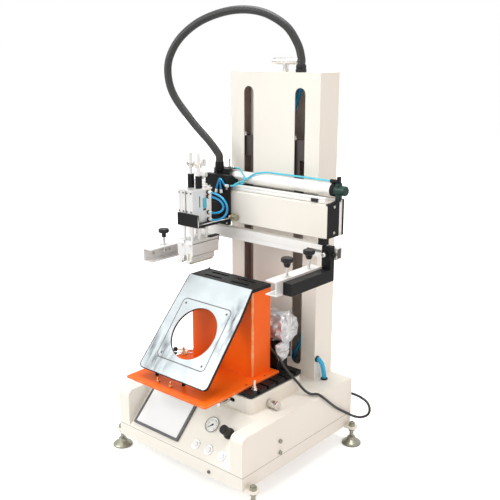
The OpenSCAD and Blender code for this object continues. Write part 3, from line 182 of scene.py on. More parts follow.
def even(path, pitch):
    """The same path with points at an even pitch, and how far along each of them lies."""
    run = np.concatenate([[0], np.cumsum(np.linalg.norm(np.diff(path, axis=0), axis=1))])
    at = np.linspace(0, run[-1], max(2, round(run[-1] / pitch) + 1))
    return np.stack([np.interp(at, run, path[:, k]) for k in range(3)], -1), at


def carried(path, first):
    """Tangents along a path and one normal at each point: the normal before it, less the part of
    it that points along the path here."""
    t = np.gradient(path, axis=0)
    t /= np.linalg.norm(t, axis=1)[:, None]
    n = np.empty_like(t)
    last = np.asarray(first, float)
    for k, along in enumerate(t):
        last = last - (last @ along) * along
        last /= np.linalg.norm(last)
        n[k] = last
    return t, n


def tube(path, radius, sides, first=(0, 1, 0)):
    """A round bar along a path in metres: radius is one number or one for each point."""
    t, n = carried(path, first)
    turn = around(sides)[:, None]
    r = np.broadcast_to(radius, len(path))[:, None, None]
    ring = np.cos(turn) * n[:, None] + np.sin(turn) * np.cross(t, n)[:, None]
    return grid(path[:, None] + r * ring, closed=True, caps=True)


def length_of(path):
    """The sum of the distances from each point of a path to the next."""
    return float(np.linalg.norm(np.diff(path, axis=0), axis=1).sum())


quarter = curve_through([(100, 0, 0), (71, 71, 0), (0, 100, 0)], 8)
print("a quarter turn of 100 mm radius is", round(length_of(quarter), 3), "m long")

# %% [markdown]
# ## Node helpers
#
# A finish is a small tree of shader nodes. One helper adds a node, sets its values and links
# its inputs, so that each finish below reads as a list of decisions and not of clicks.

# %% Helpers for finishes
def node(tree, kind, inputs=(), **settings):
    """Adds a shader node. An input's value may be a number, a colour or another node's output."""
    made = tree.nodes.new("ShaderNode" + kind)
    for key, value in settings.items():
        setattr(made, key, value)
    for key, value in dict(inputs).items():
        if isinstance(value, bpy.types.NodeSocket):
            tree.links.new(value, made.inputs[key])
        else:
            made.inputs[key].default_value = value
    return made


def empty_finish(name):
    """A material with an empty tree, and its Object coordinates."""
    made = bpy.data.materials.new(name)
    made.use_nodes = True
    made.node_tree.nodes.clear()
    place = node(made.node_tree, "TexCoord").outputs["Object"]
    return made, made.node_tree, place


def noise(tree, place, scale, detail=2.0, stretch=None):
    """Cloudy noise from 0 to 1. A stretch makes it long in the directions with small numbers."""
    if stretch:
        place = node(tree, "Mapping", {"Vector": place, "Scale": stretch}).outputs[0]
    return node(tree, "TexNoise", {"Vector": place, "Scale": scale, "Detail": detail}).outputs[0]


def ramp(tree, value, low, high, to_low=0.0, to_high=1.0):
    """Maps low..high to to_low..to_high and stops at both ends."""
    keys = ("Value", "From Min", "From Max", "To Min", "To Max")
    return node(tree, "MapRange", zip(keys, (value, low, high, to_low, to_high))).outputs[0]


def mix(tree, share, a, b):
    """Colour a where share is 0, colour b where it is 1."""
    a, b = (c if isinstance(c, bpy.types.NodeSocket) else (*c, 1) for c in (a, b))
    return node(tree, "Mix", {0: share, 6: a, 7: b}, data_type="RGBA").outputs[2]


def number(tree, operation, a, b):
    """Two values in a Math node."""
    return node(tree, "Math", {0: a, 1: b}, operation=operation).outputs[0]


def vector(tree, operation, *values):
    """The outputs of a Vector Math node."""
    return node(tree, "VectorMath", dict(enumerate(values)), operation=operation).outputs


def relief(tree, height, distance, **more):
    """A normal that follows a height, distance metres deep."""
    return node(tree, "Bump", {"Height": height, "Distance": distance, **more}).outputs[0]


def surface(tree, colour, roughness, normal, **sockets):
    """The shader itself. Values that are the same all over stand in its own sockets."""
    shader = node(tree, "BsdfPrincipled",
                  {"Base Color": colour, "Roughness": roughness, "Normal": normal, **sockets})
    node(tree, "OutputMaterial", {"Surface": shader.outputs[0]})


# %% [markdown]
# Most finishes of the machine have the same build, so one function makes them all from their
# numbers. The Bevel node gives a rounded normal near an edge. Where it departs from the real
# normal, the edge is painted a paler colour, and noise breaks that up. On most finishes this is
# wear, as handling does. On the orange paint it is also a painted highlight.

# %% One recipe for most finishes
def finish(name, colour, shade, worn, rough, grain=900, bump=0.00001, stretch=None, edge=0.0006,
           wear=0.5, blotch=7, metal=0.0, shine=0.5, **sockets):
    """A finish with broad changes of tone between colour and shade, a fine grain in its relief
    and gloss, and edges that are rounded by edge metres and painted towards the
    worn colour: wear, and on the orange paint a painted highlight too. blotch
    and grain are the scales of the noise, and rough is the range of the roughness."""
    made, tree, place = empty_finish(name)
    broad = noise(tree, place, blotch, 4.0)
    fine = noise(tree, place, grain, 2.0, stretch)
    rounded = node(tree, "Bevel", {"Radius": edge}, samples=6).outputs[0]
    facing = node(tree, "NewGeometry").outputs["Normal"]
    agree = vector(tree, "DOT_PRODUCT", rounded, facing)["Value"]
    rubbed_and_highlight = number(tree, "MULTIPLY", ramp(tree, agree, 0.995, 0.85),
                    ramp(tree, noise(tree, place, 60, 5.0), 0.35, 0.7))
    tone = mix(tree, ramp(tree, broad, 0.3, 0.72), colour, shade)
    tone = mix(tree, number(tree, "MULTIPLY", rubbed_and_highlight, wear), tone, worn)
    gloss = ramp(tree, noise(tree, place, 35, 3.0), 0.25, 0.75, rough[0], rough[1])
    grained = relief(tree, fine, bump, Normal=rounded)
    surface(tree, tone, gloss, grained,
            **{"Metallic": metal, "Specular IOR Level": shine, **sockets})
    return made


# %% [markdown]
# ## The cords
#
# Two free cords are seen. A black conduit as thick as a thumb rises from the column's cap, arches
# over to the left and comes down into the moving carriage: it carries the air lines and wires. A
# thin black cable leaves the work drive, lies over the base and enters its rear through a gland.
#
# Each follows the same chosen points as its solid in the CAD model. Its far end moves with
# another body, so each cord is made as two halves, cut at one of its chosen points.

# %% Routes
hose_points = [
    [84, 192, 1162], [84, 192, 1180], [72, 188, 1220], [38, 174, 1270], [-30, 148, 1308],
    [-115, 118, 1314], [-205, 85, 1288], [-272, 60, 1240], [-310, 46, 1180],
    [-316, 44, 1120], [-296, 51, 1060], [-240, 72, 985], [-190, 90, 930],
    [-162, 101, 892], [-158, 102, 880], [-158, 102, 868]]
cable_points = [
    [100, 42, 345], [100, 38, 345], [110, 34, 338], [137, 37, 316], [160, 36, 292],
    [178, 40, 274], [192, 58, 246], [208, 68, 224], [230, 72, 216], [248, 84, 216],
    [258, 104, 198], [257, 165, 147], [258, 225, 106], [264, 258, 84], [278, 278, 77],
    [297, 286, 88], [302, 290, 108], [286, 296, 126], [250, 302, 133], [216, 302, 133],
    [200, 292, 133], [200, 284, 133]]


def in_two(points, split):
    """The two halves of a route, cut at one of its chosen points."""
    steps = 16
    path = curve_through(points, steps)
    return path[:split * steps + 1], path[split * steps:]


hose_a, hose_b = in_two(hose_points, 7)
cable_a, cable_b = in_two(cable_points, 6)
print("hose", round(length_of(hose_a) + length_of(hose_b), 3), "m, cable",
      round(length_of(cable_a) + length_of(cable_b), 3), "m")

# %% [markdown]
# The conduit is a corrugated plastic hose: its radius swings by half a millimetre with every
# 4.2 mm of length, which gives it the soft broken highlight of such hoses. The cable is a smooth
# jacket. Their colours are near black with a slightly grey, dusty bloom where they bend.

# %% Rubber and hose finishes
hose_finish = finish(
    "hose_plastic", (0.020, 0.021, 0.021), (0.034, 0.035, 0.035), (0.07, 0.07, 0.07), (0.34, 0.48),
    grain=1500, bump=0.00002, edge=0.0002)
cable_finish = finish(
    "cable_jacket", (0.022, 0.021, 0.021), (0.04, 0.038, 0.036), (0.06, 0.06, 0.06), (0.38, 0.5),
    grain=1800, bump=0.00002, edge=0.0002)
print(hose_finish.name, "and", cable_finish.name)


# %% Halves of the cords
RIB_PITCH = 0.0042
HOSE = dict(diameter=0.0238, made_of=hose_finish, pitch=0.00105, rib=0.0005, sides=22)
CABLE = dict(diameter=0.0079, made_of=cable_finish, pitch=0.003, rib=0.0, sides=14)


def cord_half(name, path, bodies, diameter, made_of, pitch, rib, sides):
    """Half of a cord: a round bar along its path. bodies, the bodies at its two ends, is not used.
    Its radius swings by rib metres with a cosine of the length, and rib is 0 for a smooth jacket."""
    line, along = even(path, pitch)
    radius = diameter / 2 - rib * (0.5 - 0.5 * np.cos(2 * np.pi * along / RIB_PITCH))
    made = piece(name, [tube(line, radius, sides)], made_of, None, sharp=60)
    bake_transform(made)
    return made, line


upper_hose, upper_line = cord_half("conduit_rise", hose_a, ("base", "head"), **HOSE)
lower_hose, lower_line = cord_half("conduit_fall", hose_b, ("head", "carriage"), **HOSE)
drive_cable, drive_line = cord_half("cable_at_drive", cable_a, ("table", "saddle"), **CABLE)
base_cable, base_line = cord_half("cable_at_base", cable_b, ("saddle", "base"), **CABLE)
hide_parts("conduit_hose")
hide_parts("motor_cable")
print("the hose has", len(upper_line) + len(lower_line), "rings")

# %% [markdown]
# The length of each half is then printed. Both cords end in the machine again.

# %% Length of each half of a cord
for made, line, kind, leaves, stiffness in [
        (upper_hose, upper_line, HOSE, hose_a[0], "stiff"),
        (lower_hose, lower_line, HOSE, hose_b[0], "stiff"),
        (base_cable, base_line, CABLE, cable_b[-1], "medium"),
        (drive_cable, drive_line, CABLE, cable_a[0], "medium")]:
    print(made.name, round(length_of(line), 3), "m")

# %% [markdown]
# ## Finishes of the machine
#
# The case is powder coated in warm ivory, with the faint orange-peel relief of such paint. The
# fixture is sprayed bright orange. Machined parts are black anodised or bare aluminium with fine
# tool lines, and small hardware is bright steel. Colours are written as the paint looks under
# even light and the lamps do the rest, apart from the painted light, shade and highlights noted
# at their finishes.

# %% Paints and metals
ivory = finish(
    "ivory_powder_coat", (0.90, 0.865, 0.79), (0.875, 0.835, 0.755), (0.94, 0.92, 0.88),
    (0.40, 0.50), grain=700, bump=0.00004, edge=0.0012, wear=0.35, blotch=4)
ivory_sheet = finish(
    "ivory_sheet", (0.905, 0.875, 0.805), (0.88, 0.845, 0.77), (0.95, 0.93, 0.89), (0.38, 0.48),
    grain=650, bump=0.00003, edge=0.0010, wear=0.3, blotch=3)
# The orange paint's pale edges, from its wide edge radius and full strength, are a painted
# highlight along its bends as well as worn paint.
orange = finish(
    "orange_paint", (1.0, 0.165, 0.008), (0.96, 0.128, 0.005), (1.0, 0.62, 0.38), (0.36, 0.48),
    grain=420, bump=0.00003, edge=0.0034, wear=1.0, blotch=6, shine=0.22)
anodised = finish(
    "black_anodised", (0.008, 0.0085, 0.009), (0.014, 0.0145, 0.015), (0.20, 0.19, 0.18),
    (0.34, 0.46), grain=1600, shine=0.15)
green_anodised = finish(
    "green_anodised", (0.010, 0.038, 0.030), (0.014, 0.052, 0.042), (0.20, 0.30, 0.26),
    (0.30, 0.42), grain=1400, shine=0.35)
bezel_grey = finish(
    "bezel_grey", (0.085, 0.087, 0.092), (0.12, 0.122, 0.128), (0.35, 0.35, 0.36), (0.32, 0.44),
    grain=1200)
# A dark brown for the lift slider inside the column: painted shade, for the shaded brown seen
# through the slots.
slider_painted_shade = finish(
    "slider_steel_painted_shade", (0.060, 0.047, 0.044), (0.085, 0.068, 0.062), (0.25, 0.22, 0.20),
    (0.34, 0.46))
# A warmer copy of the ivory sheet for the inside of the column: painted light, for the warm light
# seen in there through the slots.
inner_sheet_painted_light = finish(
    "inner_sheet_painted_light", (0.95, 0.84, 0.76), (0.90, 0.77, 0.69), (0.95, 0.88, 0.80), (0.40, 0.52),
    grain=650, bump=0.00003, edge=0.0010, wear=0.2, blotch=5)
moulded = finish(
    "black_moulded", (0.014, 0.014, 0.015), (0.022, 0.022, 0.023), (0.08, 0.08, 0.08),
    (0.40, 0.52), grain=1100, bump=0.00004, edge=0.0008, wear=0.4, shine=0.28)
BARE = dict(colour=(0.90, 0.90, 0.895), shade=(0.82, 0.825, 0.82), worn=(0.96, 0.96, 0.95),
            rough=(0.30, 0.44), grain=500, bump=0.000012, wear=0.6)
aluminium = finish("machined_aluminium", stretch=(0.03, 1, 1), metal=0.7, **BARE)
aluminium_y = finish("machined_aluminium_deep", stretch=(1, 0.03, 1), metal=0.3, **BARE)
extruded = finish(
    "anodised_extrusion", (0.93, 0.93, 0.91), (0.88, 0.88, 0.86), (0.95, 0.95, 0.93), (0.38, 0.50),
    grain=420, bump=0.000006, stretch=(0.02, 1, 1), wear=0.4, metal=0.25)
bright_steel = finish(
    "bright_steel", (0.74, 0.73, 0.70), (0.60, 0.59, 0.56), (0.88, 0.87, 0.85), (0.20, 0.34),
    bump=0.000012, edge=0.0005, metal=1.0)
plated_steel = finish(
    "plated_steel", (0.42, 0.41, 0.33), (0.29, 0.285, 0.225), (0.76, 0.75, 0.68), (0.24, 0.38),
    grain=700, bump=0.00002, metal=1.0)
brass = finish(
    "brass", (0.78, 0.62, 0.34), (0.66, 0.50, 0.26), (0.90, 0.80, 0.56), (0.2, 0.34), edge=0.0005,
    metal=1.0)
ground_steel = finish(
    "ground_steel", (0.52, 0.48, 0.45), (0.42, 0.39, 0.36), (0.7, 0.68, 0.65), (0.30, 0.44),
    grain=600, stretch=(1, 1, 0.05), metal=0.6)
blade_rubber = finish(
    "polyurethane_blade", (0.72, 0.66, 0.48), (0.64, 0.57, 0.38), (0.8, 0.76, 0.6), (0.35, 0.45),
    grain=800, bump=0.00002, edge=0.0005, **{"Subsurface Weight": 0.15, "Subsurface Scale": 0.004})
white_plastic = finish(
    "white_plastic", (0.90, 0.90, 0.88), (0.86, 0.86, 0.835), (0.93, 0.93, 0.92), (0.28, 0.38),
    grain=1200, wear=0.3)
# The screen's near-white colour is a painted reflection: it stands in for the white room mirrored
# in the glass.
screen_painted_reflection = finish(
    "screen_painted_reflection", (0.94, 0.945, 0.95), (0.91, 0.915, 0.92), (0.94, 0.94, 0.94), (0.08, 0.14),
    grain=300, bump=0.000002, edge=0.0003, wear=0.1, blotch=9,
    **{"Coat Weight": 0.6, "Coat Roughness": 0.04})
dull_steel = finish(
    "blued_screw", (0.10, 0.098, 0.092), (0.15, 0.145, 0.135), (0.45, 0.44, 0.42), (0.30, 0.45),
    edge=0.0004, wear=0.6, metal=0.8)
print(len(bpy.data.materials), "finishes so far")

# %% [markdown]
# The slanted face of the fixture is a bright plate under clear film. It shows the pale room as
# soft streaks, so its roughness is low and uneven and its relief has very long, shallow waves. The
# streaks are also painted into its colour as a painted reflection, and so are two dark
# reflections of the machine.
# The air lines are polyurethane tube in three blues, the lightest for the line at the column's
# foot.

# %% Bright film and air lines
def bright_film(name):
    """A plate under film: streaks painted as the room's reflection, two painted reflections of the
    dark machine, and waves in its relief.
    """
    made, tree, place = empty_finish(name)
    waves = noise(tree, place, 9, 3.0, (1.0, 2.4, 2.4))
    rounded = node(tree, "Bevel", {"Radius": 0.0006}, samples=6).outputs[0]
    wavy = relief(tree, waves, 0.004, Strength=0.14, Normal=rounded)
    painted_room_streak = ramp(tree, noise(tree, place, 5, 5.0, (0.8, 2.6, 2.6)), 0.36, 0.66)
    tone = mix(tree, painted_room_streak, (0.71, 0.78, 0.81), (0.60, 0.67, 0.70))
    # Two dark painted reflections of the machine, where the film would mirror it: each fades out
    # over its own ellipse (middle x, middle y, middle z, then its half sizes across and down the
    # slope), broken by noise that runs down the slope.
    reflection_breaks = ramp(tree, noise(tree, place, 22, 7.0, (2.4, 0.7, 0.7)), 0.40, 0.60)
    for x, y, z, wide, tall in ((-0.112, -0.222, 0.350, 0.075, 0.075),
                                (0.098, -0.140, 0.447, 0.034, 0.110)):
        step = vector(tree, "SUBTRACT", place, (x, y, z))[0]
        step = vector(tree, "MULTIPLY", step, (1 / wide, 1 / tall, 1 / tall))[0]
        near_reflection = ramp(tree, vector(tree, "LENGTH", step)["Value"], 1.1, 0.3)
        tone = mix(tree, number(tree, "MULTIPLY", reflection_breaks, near_reflection), tone, (0.12, 0.14, 0.155))
    gloss = ramp(tree, noise(tree, place, 26, 4.0), 0.3, 0.75, 0.10, 0.26)
    surface(tree, tone, gloss, wavy,
            **{"Metallic": 0.4, "Coat Weight": 0.4, "Coat Roughness": 0.06})
    return made


def air_line(name, colour, deep):
    """Soft clear tube, coloured through: a little light enters it and comes out again."""
    made, tree, place = empty_finish(name)
    tone = mix(tree, ramp(tree, noise(tree, place, 18, 3.0), 0.3, 0.7), colour, deep)
    fine = relief(tree, noise(tree, place, 900), 0.00001)
    gloss = ramp(tree, noise(tree, place, 60), 0.3, 0.7, 0.16, 0.26)
    surface(tree, tone, gloss, fine, **{"Transmission Weight": 0.25, "IOR": 1.5,
                                        "Subsurface Weight": 0.2, "Subsurface Scale": 0.003})
    return made


bright_panel = bright_film("bright_film_panel")
blue_line = air_line("blue_air_line", (0.016, 0.50, 0.86), (0.006, 0.34, 0.74))
cyan_line = air_line("cyan_air_line", (0.14, 0.72, 0.86), (0.06, 0.56, 0.78))
bright_line = air_line("bright_air_line", (0.05, 0.66, 0.96), (0.02, 0.48, 0.90))
print(bright_panel.name, "has", len(bright_panel.node_tree.nodes), "nodes")

# %% [markdown]
# Each solid that is all of one finish gets it here, by its name in the CAD model.

# %% Which solid has which finish
worn_by = {
    ivory: "base_pan base_cover plinth",
    ivory_sheet: "beam_cover",
    orange: "fixture_upright",
    anodised: "table_top fixture_top slant_plate head_plate carriage_block right_arm gearbox",
    moulded: "regulator_knob gauge_needle",
    aluminium: "flood_holder",
    aluminium_y: "left_channel right_channel left_arm",
    extruded: "stroke_cylinder beam_rail wrapped_motor",
    bright_steel: "x_knob y_knob wing_nut_squeegee wing_nut_flood height_handle stage_base "
                  "stage_saddle",
    plated_steel: "foot_fl foot_fr foot_rl foot_rr",
    ground_steel: "lift_guides",
    slider_painted_shade: "lift_slider",
    blade_rubber: "squeegee_blade",
    blue_line: "carriage_tubes",
    bright_line: "air_tube",
    cyan_line: "head_tube",
    white_plastic: "button_left button_middle button_right",
    hose_finish: "conduit_hose",
    cable_finish: "motor_cable"}
for made, names in worn_by.items():
    for name in names.split():
        cad[name].data.materials.clear()
        cad[name].data.materials.append(made)
print(sum(len(names.split()) for names in worn_by.values()), "solids with one finish each")

# %% [markdown]
# Other solids hold parts of two or three finishes, such as a black knob on a bare screw. Their
# faces are sorted by where they are and which way they look, and each group gets its own
# material slot. No point of the solid moves.

# %% Solids with more than one finish
PANEL_TILT, SLANT_TILT = math.radians(45), math.radians(50)
SLOPE = np.array([0, -math.sin(PANEL_TILT), math.cos(PANEL_TILT)])
SLANT = np.array([0, -math.sin(SLANT_TILT), math.cos(SLANT_TILT)])
PANEL_AT = (0, -258, 98)  # the sloped panel's lower edge, in mm
SLANT_AT = (0, -57, 546)  # the slanted sheet's upper edge


def over(x, y, z, origin, out):
    """How far a point stands out of a plane through origin: the step from there, along out."""
    return (x - origin[0]) * out[0] + (y - origin[1]) * out[1] + (z - origin[2]) * out[2]


def dressed(name, first, *others):
    """The first finish for the whole solid, and each other one for the faces that its test
    picks. The test sees the faces' centres in millimetres and their outward directions."""
    mesh = cad[name].data
    count = len(mesh.polygons)
    centre, facing = np.empty(3 * count), np.empty(3 * count)
    mesh.polygons.foreach_get("center", centre)
    mesh.polygons.foreach_get("normal", facing)
    x, y, z = centre.reshape(-1, 3).T / MM
    mesh.materials.clear()
    mesh.materials.append(first)
    which = np.zeros(count, int)
    for k, (made, test) in enumerate(others, 1):
        mesh.materials.append(made)
        which[test(x, y, z, facing.reshape(-1, 3))] = k
    mesh.polygons.foreach_set("material_index", which)
    print(name, [int((which == k).sum()) for k in range(len(others) + 1)])


dressed("touch_screen", bezel_grey, (screen_painted_reflection, lambda x, y, z, n:
        (n @ SLOPE > 0.9) & (abs(over(x, y, z, PANEL_AT, SLOPE) - 5) < 0.2)))
dressed("pressure_gauge", aluminium, (white_plastic, lambda x, y, z, n:
        (n @ SLOPE > 0.99) & (over(x, y, z, PANEL_AT, SLOPE) < 2.2)))
dressed("panel_fittings", aluminium, (moulded, lambda x, y, z, n: z > 134))
dressed("case_fittings", bright_steel,
        (moulded, lambda x, y, z, n: (y > 255) | (z > 205)),
        (plated_steel, lambda x, y, z, n: (x > 250) & (y < 250)),
        (dull_steel, lambda x, y, z, n: z < 80))
# The orange plate's underside, which lies on the table, is left as bare metal.
dressed("fixture_plate", orange, (aluminium, lambda x, y, z, n: n[:, 2] < -0.9))
dressed("column_cap", ivory_sheet, (moulded, lambda x, y, z, n:
        (x > 170.1) | ((z > 1139.2) & (x > 60))))
# The column's inside faces take the copy with painted light.
dressed("column_shell", ivory_sheet, (inner_sheet_painted_light, lambda x, y, z, n:
        (abs(x) < 167.6) & (y > 173.4) & (y < 259.6)))
dressed("beam_ends", anodised,
        (green_anodised, lambda x, y, z, n: (x > 258) & (z > 800) & (z < 846)),
        (aluminium, lambda x, y, z, n: (x < -240) & (z > 795)))
dressed("carriage_plate", anodised,
        (plated_steel, lambda x, y, z, n: (x > -74.1) & (z < 730)),
        (white_plastic, lambda x, y, z, n: (x > -86.4) & (x < -74) & (z > 705) & (z < 716)))
dressed("slant_panel", bright_panel, (dull_steel, lambda x, y, z, n:
        (abs(over(x, y, z, SLANT_AT, SLANT) + 0.5) < 0.05)))
dressed("fixture_bolts", brass,
        (bright_steel, lambda x, y, z, n: x > 150),
        (dull_steel, lambda x, y, z, n: z > 400))
dressed("frame_bar", extruded,
        (anodised, lambda x, y, z, n: z > 674.3),
        (dull_steel, lambda x, y, z, n: (abs(x) > 300) & (abs(x) < 305.5) & (n[:, 0] ** 2 > 0.9)))
dressed("squeegee_cylinders", aluminium, (white_plastic, lambda x, y, z, n: x > -101.6))
dressed("squeegee_holder", aluminium, (anodised, lambda x, y, z, n:
        ((z > 655.1) & (z < 659) & (y > -4) & (x > -116)) | (y > 33.1)))
for name, top in (("left_knob", 644.8), ("right_knob_front", 646.8), ("right_knob_rear", 648.8)):
    dressed(name, moulded, (bright_steel, lambda x, y, z, n, top=top: z < top))

# %% [markdown]
# ## Small fittings as turned and straight forms
#
# Screws, bushes, plugs and rings are turned parts, so a profile spun round an axis gives them.
# Brackets, strips and blocks are straight bars: an outline carried from one end to the other. Two
# helpers make both kinds, and one more lays a round bar through chosen points.

# %% Helpers for fittings
def turned(name, forms, made, body, sides=28):
    """One piece of several turned forms. Each is (centre in mm, axis, profile of (r, h))."""
    return piece(name, [lathe(profile, centre, axis, sides) for centre, axis, profile in forms],
                 made, body, sharp=35)


def box_outline(a0, b0, a1, b1, r, steps):
    """A rectangle with round corners, as points that run once round it."""
    turn = np.linspace(0, np.pi / 2, steps)
    return np.concatenate([
        np.stack([a + r * np.cos(turn + k * np.pi / 2), b + r * np.sin(turn + k * np.pi / 2)], -1)
        for k, (a, b) in enumerate(((a1 - r, b1 - r), (a0 + r, b1 - r), (a0 + r, b0 + r),
                                    (a1 - r, b0 + r)))])


def bar(outline, along, span):
    """A straight bar: an outline in the other two axes (mm), carried along one axis."""
    outline = np.asarray(outline, float)
    a, b = (k for k in range(3) if k != along)
    points = np.zeros((2, len(outline), 3))
    points[..., a], points[..., b] = outline.T
    points[..., along] = np.array(span, float)[:, None]
    return grid(points * MM, closed=True, caps=True)


def blocks(name, boxes, made, body, along=0, steps=4, sharp=30):
    """One piece of straight blocks with round edges along an axis. Each is (low corner, high
    corner, radius of the edges) in mm."""
    a, b = (k for k in range(3) if k != along)
    return piece(name, [bar(box_outline(low[a], low[b], high[a], high[b], r, steps), along,
                            (low[along], high[along])) for low, high, r in boxes],
                 made, body, sharp)


def round_bar(chosen, across, steps=8, sides=14):
    """A round bar or tube, across mm thick, on a smooth path through chosen points."""
    line, _ = even(curve_through(chosen, steps), 0.0025)
    return tube(line, across / 2 * MM, sides)


def cap_screw(r, h):
    """Profile of a socket screw's head: r wide, h high, with its edge broken and its socket."""
    return [(0, 0), (r, 0), (r, 0.8 * h), (0.86 * r, h), (0.5 * r, h), (0.46 * r, 0.45 * h),
            (0, 0.45 * h)]


def dome(r, h):
    """Profile of a button head: an arc that rises from radius r to height h on the axis."""
    turn = np.linspace(0, np.pi / 2, 7)
    return [(0, 0)] + list(zip(r * np.cos(turn), h * np.sin(turn)))


print("a cap screw has", len(cap_screw(4, 4)), "points in its profile")

# %% [markdown]
# ## Foil on the work drive
#
# The drive that turns the work is packed in crumpled aluminium foil against ink. Foil creases
# along straight lines and stays flat between them, where smooth noise would look like dough. So a
# coarse net of points is laid on the drive's round hull, each point is pushed in and aside by
# chance, and the meshes between them are filled with flat facets that carry finer creases.

# %% Crumpled foil
def between(net, parts):
    """A net with parts - 1 new points in each mesh, along i and then along j. j is a ring."""
    t = np.arange(parts)[None, :, None, None] / parts
    rows = (net[:-1, None] * (1 - t) + net[1:, None] * t).reshape(-1, *net.shape[1:])
    rows = np.concatenate([rows, net[-1:]])
    t = np.arange(parts)[None, None, :, None] / parts
    after = np.roll(rows, -1, axis=1)
    return (rows[:, :, None] * (1 - t) + after[:, :, None] * t).reshape(len(rows), -1, 3)


def crumpled(net, inward, seed, big, small):
    """A coarse net pushed in by up to big mm and aside by a third of that, then filled, then
    pushed in again by up to small mm."""
    draw = np.random.default_rng(seed)
    net = net + inward * draw.random(net.shape[:2])[..., None] ** 1.4 * big * MM
    net = net + (draw.random(net.shape) - 0.5) * big * 0.66 * MM
    net[0], net[-1] = net[0].mean(0), net[-1].mean(0)
    fine, toward = between(net, 3), between(inward, 3)
    fine = fine + toward * draw.random(fine.shape[:2])[..., None] * small * MM
    fine[0], fine[-1] = fine[0].mean(0), fine[-1].mean(0)
    return fine


# The foil's dark patches are painted reflections: the broad shade in its colour stands in for
# facets that mirror the dark machine.
foil = finish(
    "crumpled_foil", (0.88, 0.89, 0.90), (0.40, 0.41, 0.43), (0.97, 0.97, 0.97), (0.24, 0.40),
    grain=260, bump=0.0002, edge=0.0003, wear=0.2, blotch=48, metal=0.6)
low, high = (np.array(v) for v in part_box("wrapped_motor"))
middle = (low + high) / 2
LOOSE = 1.03  # the foil stands this much further out than the drive
drum = np.array([(0, 0), (26, 0), (44, 6), (50, 20), (50, 36), (50, 52), (50, 68), (50, 84),
                 (50, 100), (50, 116), (50, 132), (44, 145), (26, 149), (0, 149)]) * MM
turn = around(20)
out = np.stack([0 * turn, np.cos(turn), np.sin(turn)], -1)
axis_line = np.stack(np.broadcast_arrays(low[0] + drum[:, 1], middle[1], middle[2]), -1)
hull = axis_line[:, None] + drum[:, :1, None] * LOOSE * out
inward = np.broadcast_to(-out, hull.shape)
foil_wrap = piece("foil_wrap", [grid(crumpled(hull, inward, 5, 9, 1.3), closed=True)], foil,
                  "table", sharp=1)
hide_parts("wrapped_motor")
print("foil wrap", len(foil_wrap.data.polygons), "faces")

# %% [markdown]
# A loose end of the foil hangs over the side of the gearbox. It is a flat ring of points carried
# downwards, a little narrower at each step, and crumpled by the same function.

# %% Foil skirt
down = np.linspace(0, 1, 8)[:, None]
turn = around(18)[None]
girth = np.interp(down, (0, 0.12, 0.8, 1), (0, 1, 0.82, 0))
SKIRT_AT, SKIRT_HALF, SKIRT_LONG = (130, 62, 362), (9, 33), 66
side_x = SKIRT_AT[0] + SKIRT_HALF[0] * girth * np.sign(np.sin(turn)) * abs(np.sin(turn)) ** 0.7
side_y = SKIRT_AT[1] + SKIRT_HALF[1] * girth * np.sign(np.cos(turn)) * abs(np.cos(turn)) ** 0.5
skirt = np.stack(np.broadcast_arrays(side_x, side_y, SKIRT_AT[2] - SKIRT_LONG * down), -1) * MM
inward = -np.stack(np.broadcast_arrays(np.sin(turn), 0.4 * np.cos(turn), 0 * down), -1)
foil_skirt = piece("foil_skirt", [grid(crumpled(skirt, inward, 11, 6, 1.2), closed=True)], foil,
                   "table", sharp=1)
print("foil skirt", len(foil_skirt.data.polygons), "faces")

# %% [markdown]
# ## The angled face
#
# The bright sheet ends in a thin dark edge strip that follows its outline, and four button-head
# screws hold it round the hole. Both are laid out in the face's own directions: x across, s down
# the slope and h out of it.

# %% Edge strip and screws of the angled face
def on_plane(origin, tilt, x, s, h):
    """A point in mm of a plane that rises to the back: x across, s up its slope, h out of it."""
    x, s, h = np.broadcast_arrays(np.asarray(x, float), s, h)
    c, d = math.cos(tilt), math.sin(tilt)
    return np.stack([x, origin[1] + s * c - h * d, origin[2] + s * d + h * c], -1)


def on_slant(x, s, h):
    """A point of the angled face: s down its slope from the top edge."""
    return on_plane(SLANT_AT, SLANT_TILT, x, -s, h)


FACE_LEFT, FACE_RIGHT, FACE_LENGTH = -137, 119, 313
LEFT_LEAN, RIGHT_STEP, STEP_END = 18, 6, 94


def face_outline(inset, r=15):
    """The sheet's outline as (x, s): a leaning left edge, two round corners of radius r and a
    stepped right edge."""
    top_x, right, low_s = FACE_LEFT + inset, FACE_RIGHT - inset, FACE_LENGTH - inset
    lean = math.atan(LEFT_LEAN / FACE_LENGTH)
    corner = top_x - low_s * math.tan(lean) + r * math.tan(lean) + r / math.cos(lean)
    left_arc = np.linspace(np.pi + lean, 1.5 * np.pi, 9)
    right_arc = np.linspace(-0.5 * np.pi, 0, 9)
    return np.concatenate([
        [(top_x, 2)],
        np.stack([corner + r * np.cos(left_arc), low_s - r - r * np.sin(left_arc)], -1),
        np.stack([right - r + r * np.cos(right_arc), low_s - r - r * np.sin(right_arc)], -1),
        [(right, STEP_END), (right - RIGHT_STEP, 2)]])


outline = face_outline(0.4)
strip_line, _ = even(on_slant(outline[:, 0], outline[:, 1], -0.6) * MM, 0.002)
piece("face_edge", [tube(strip_line, 0.0016, 8, first=(0, -0.77, 0.64))], moulded, "table",
      sharp=60)
HOLE_X, HOLE_S, SCREW_OFF = -15, 171, 81
turned("face_screws", [(on_slant(HOLE_X + a * SCREW_OFF, HOLE_S + b * SCREW_OFF, -0.4), SLANT,
                        dome(3.6, 2.0)) for a in (-1, 1) for b in (-1, 1)], dull_steel, "table")
print("edge strip", round(length_of(strip_line), 3), "m")

# %% [markdown]
# ## Air lines of the head
#
# A thin cyan line runs from the elbow at the beam's right end to the carriage. It belongs to the
# head at one end and to the carriage at the other, so it is made with no body.

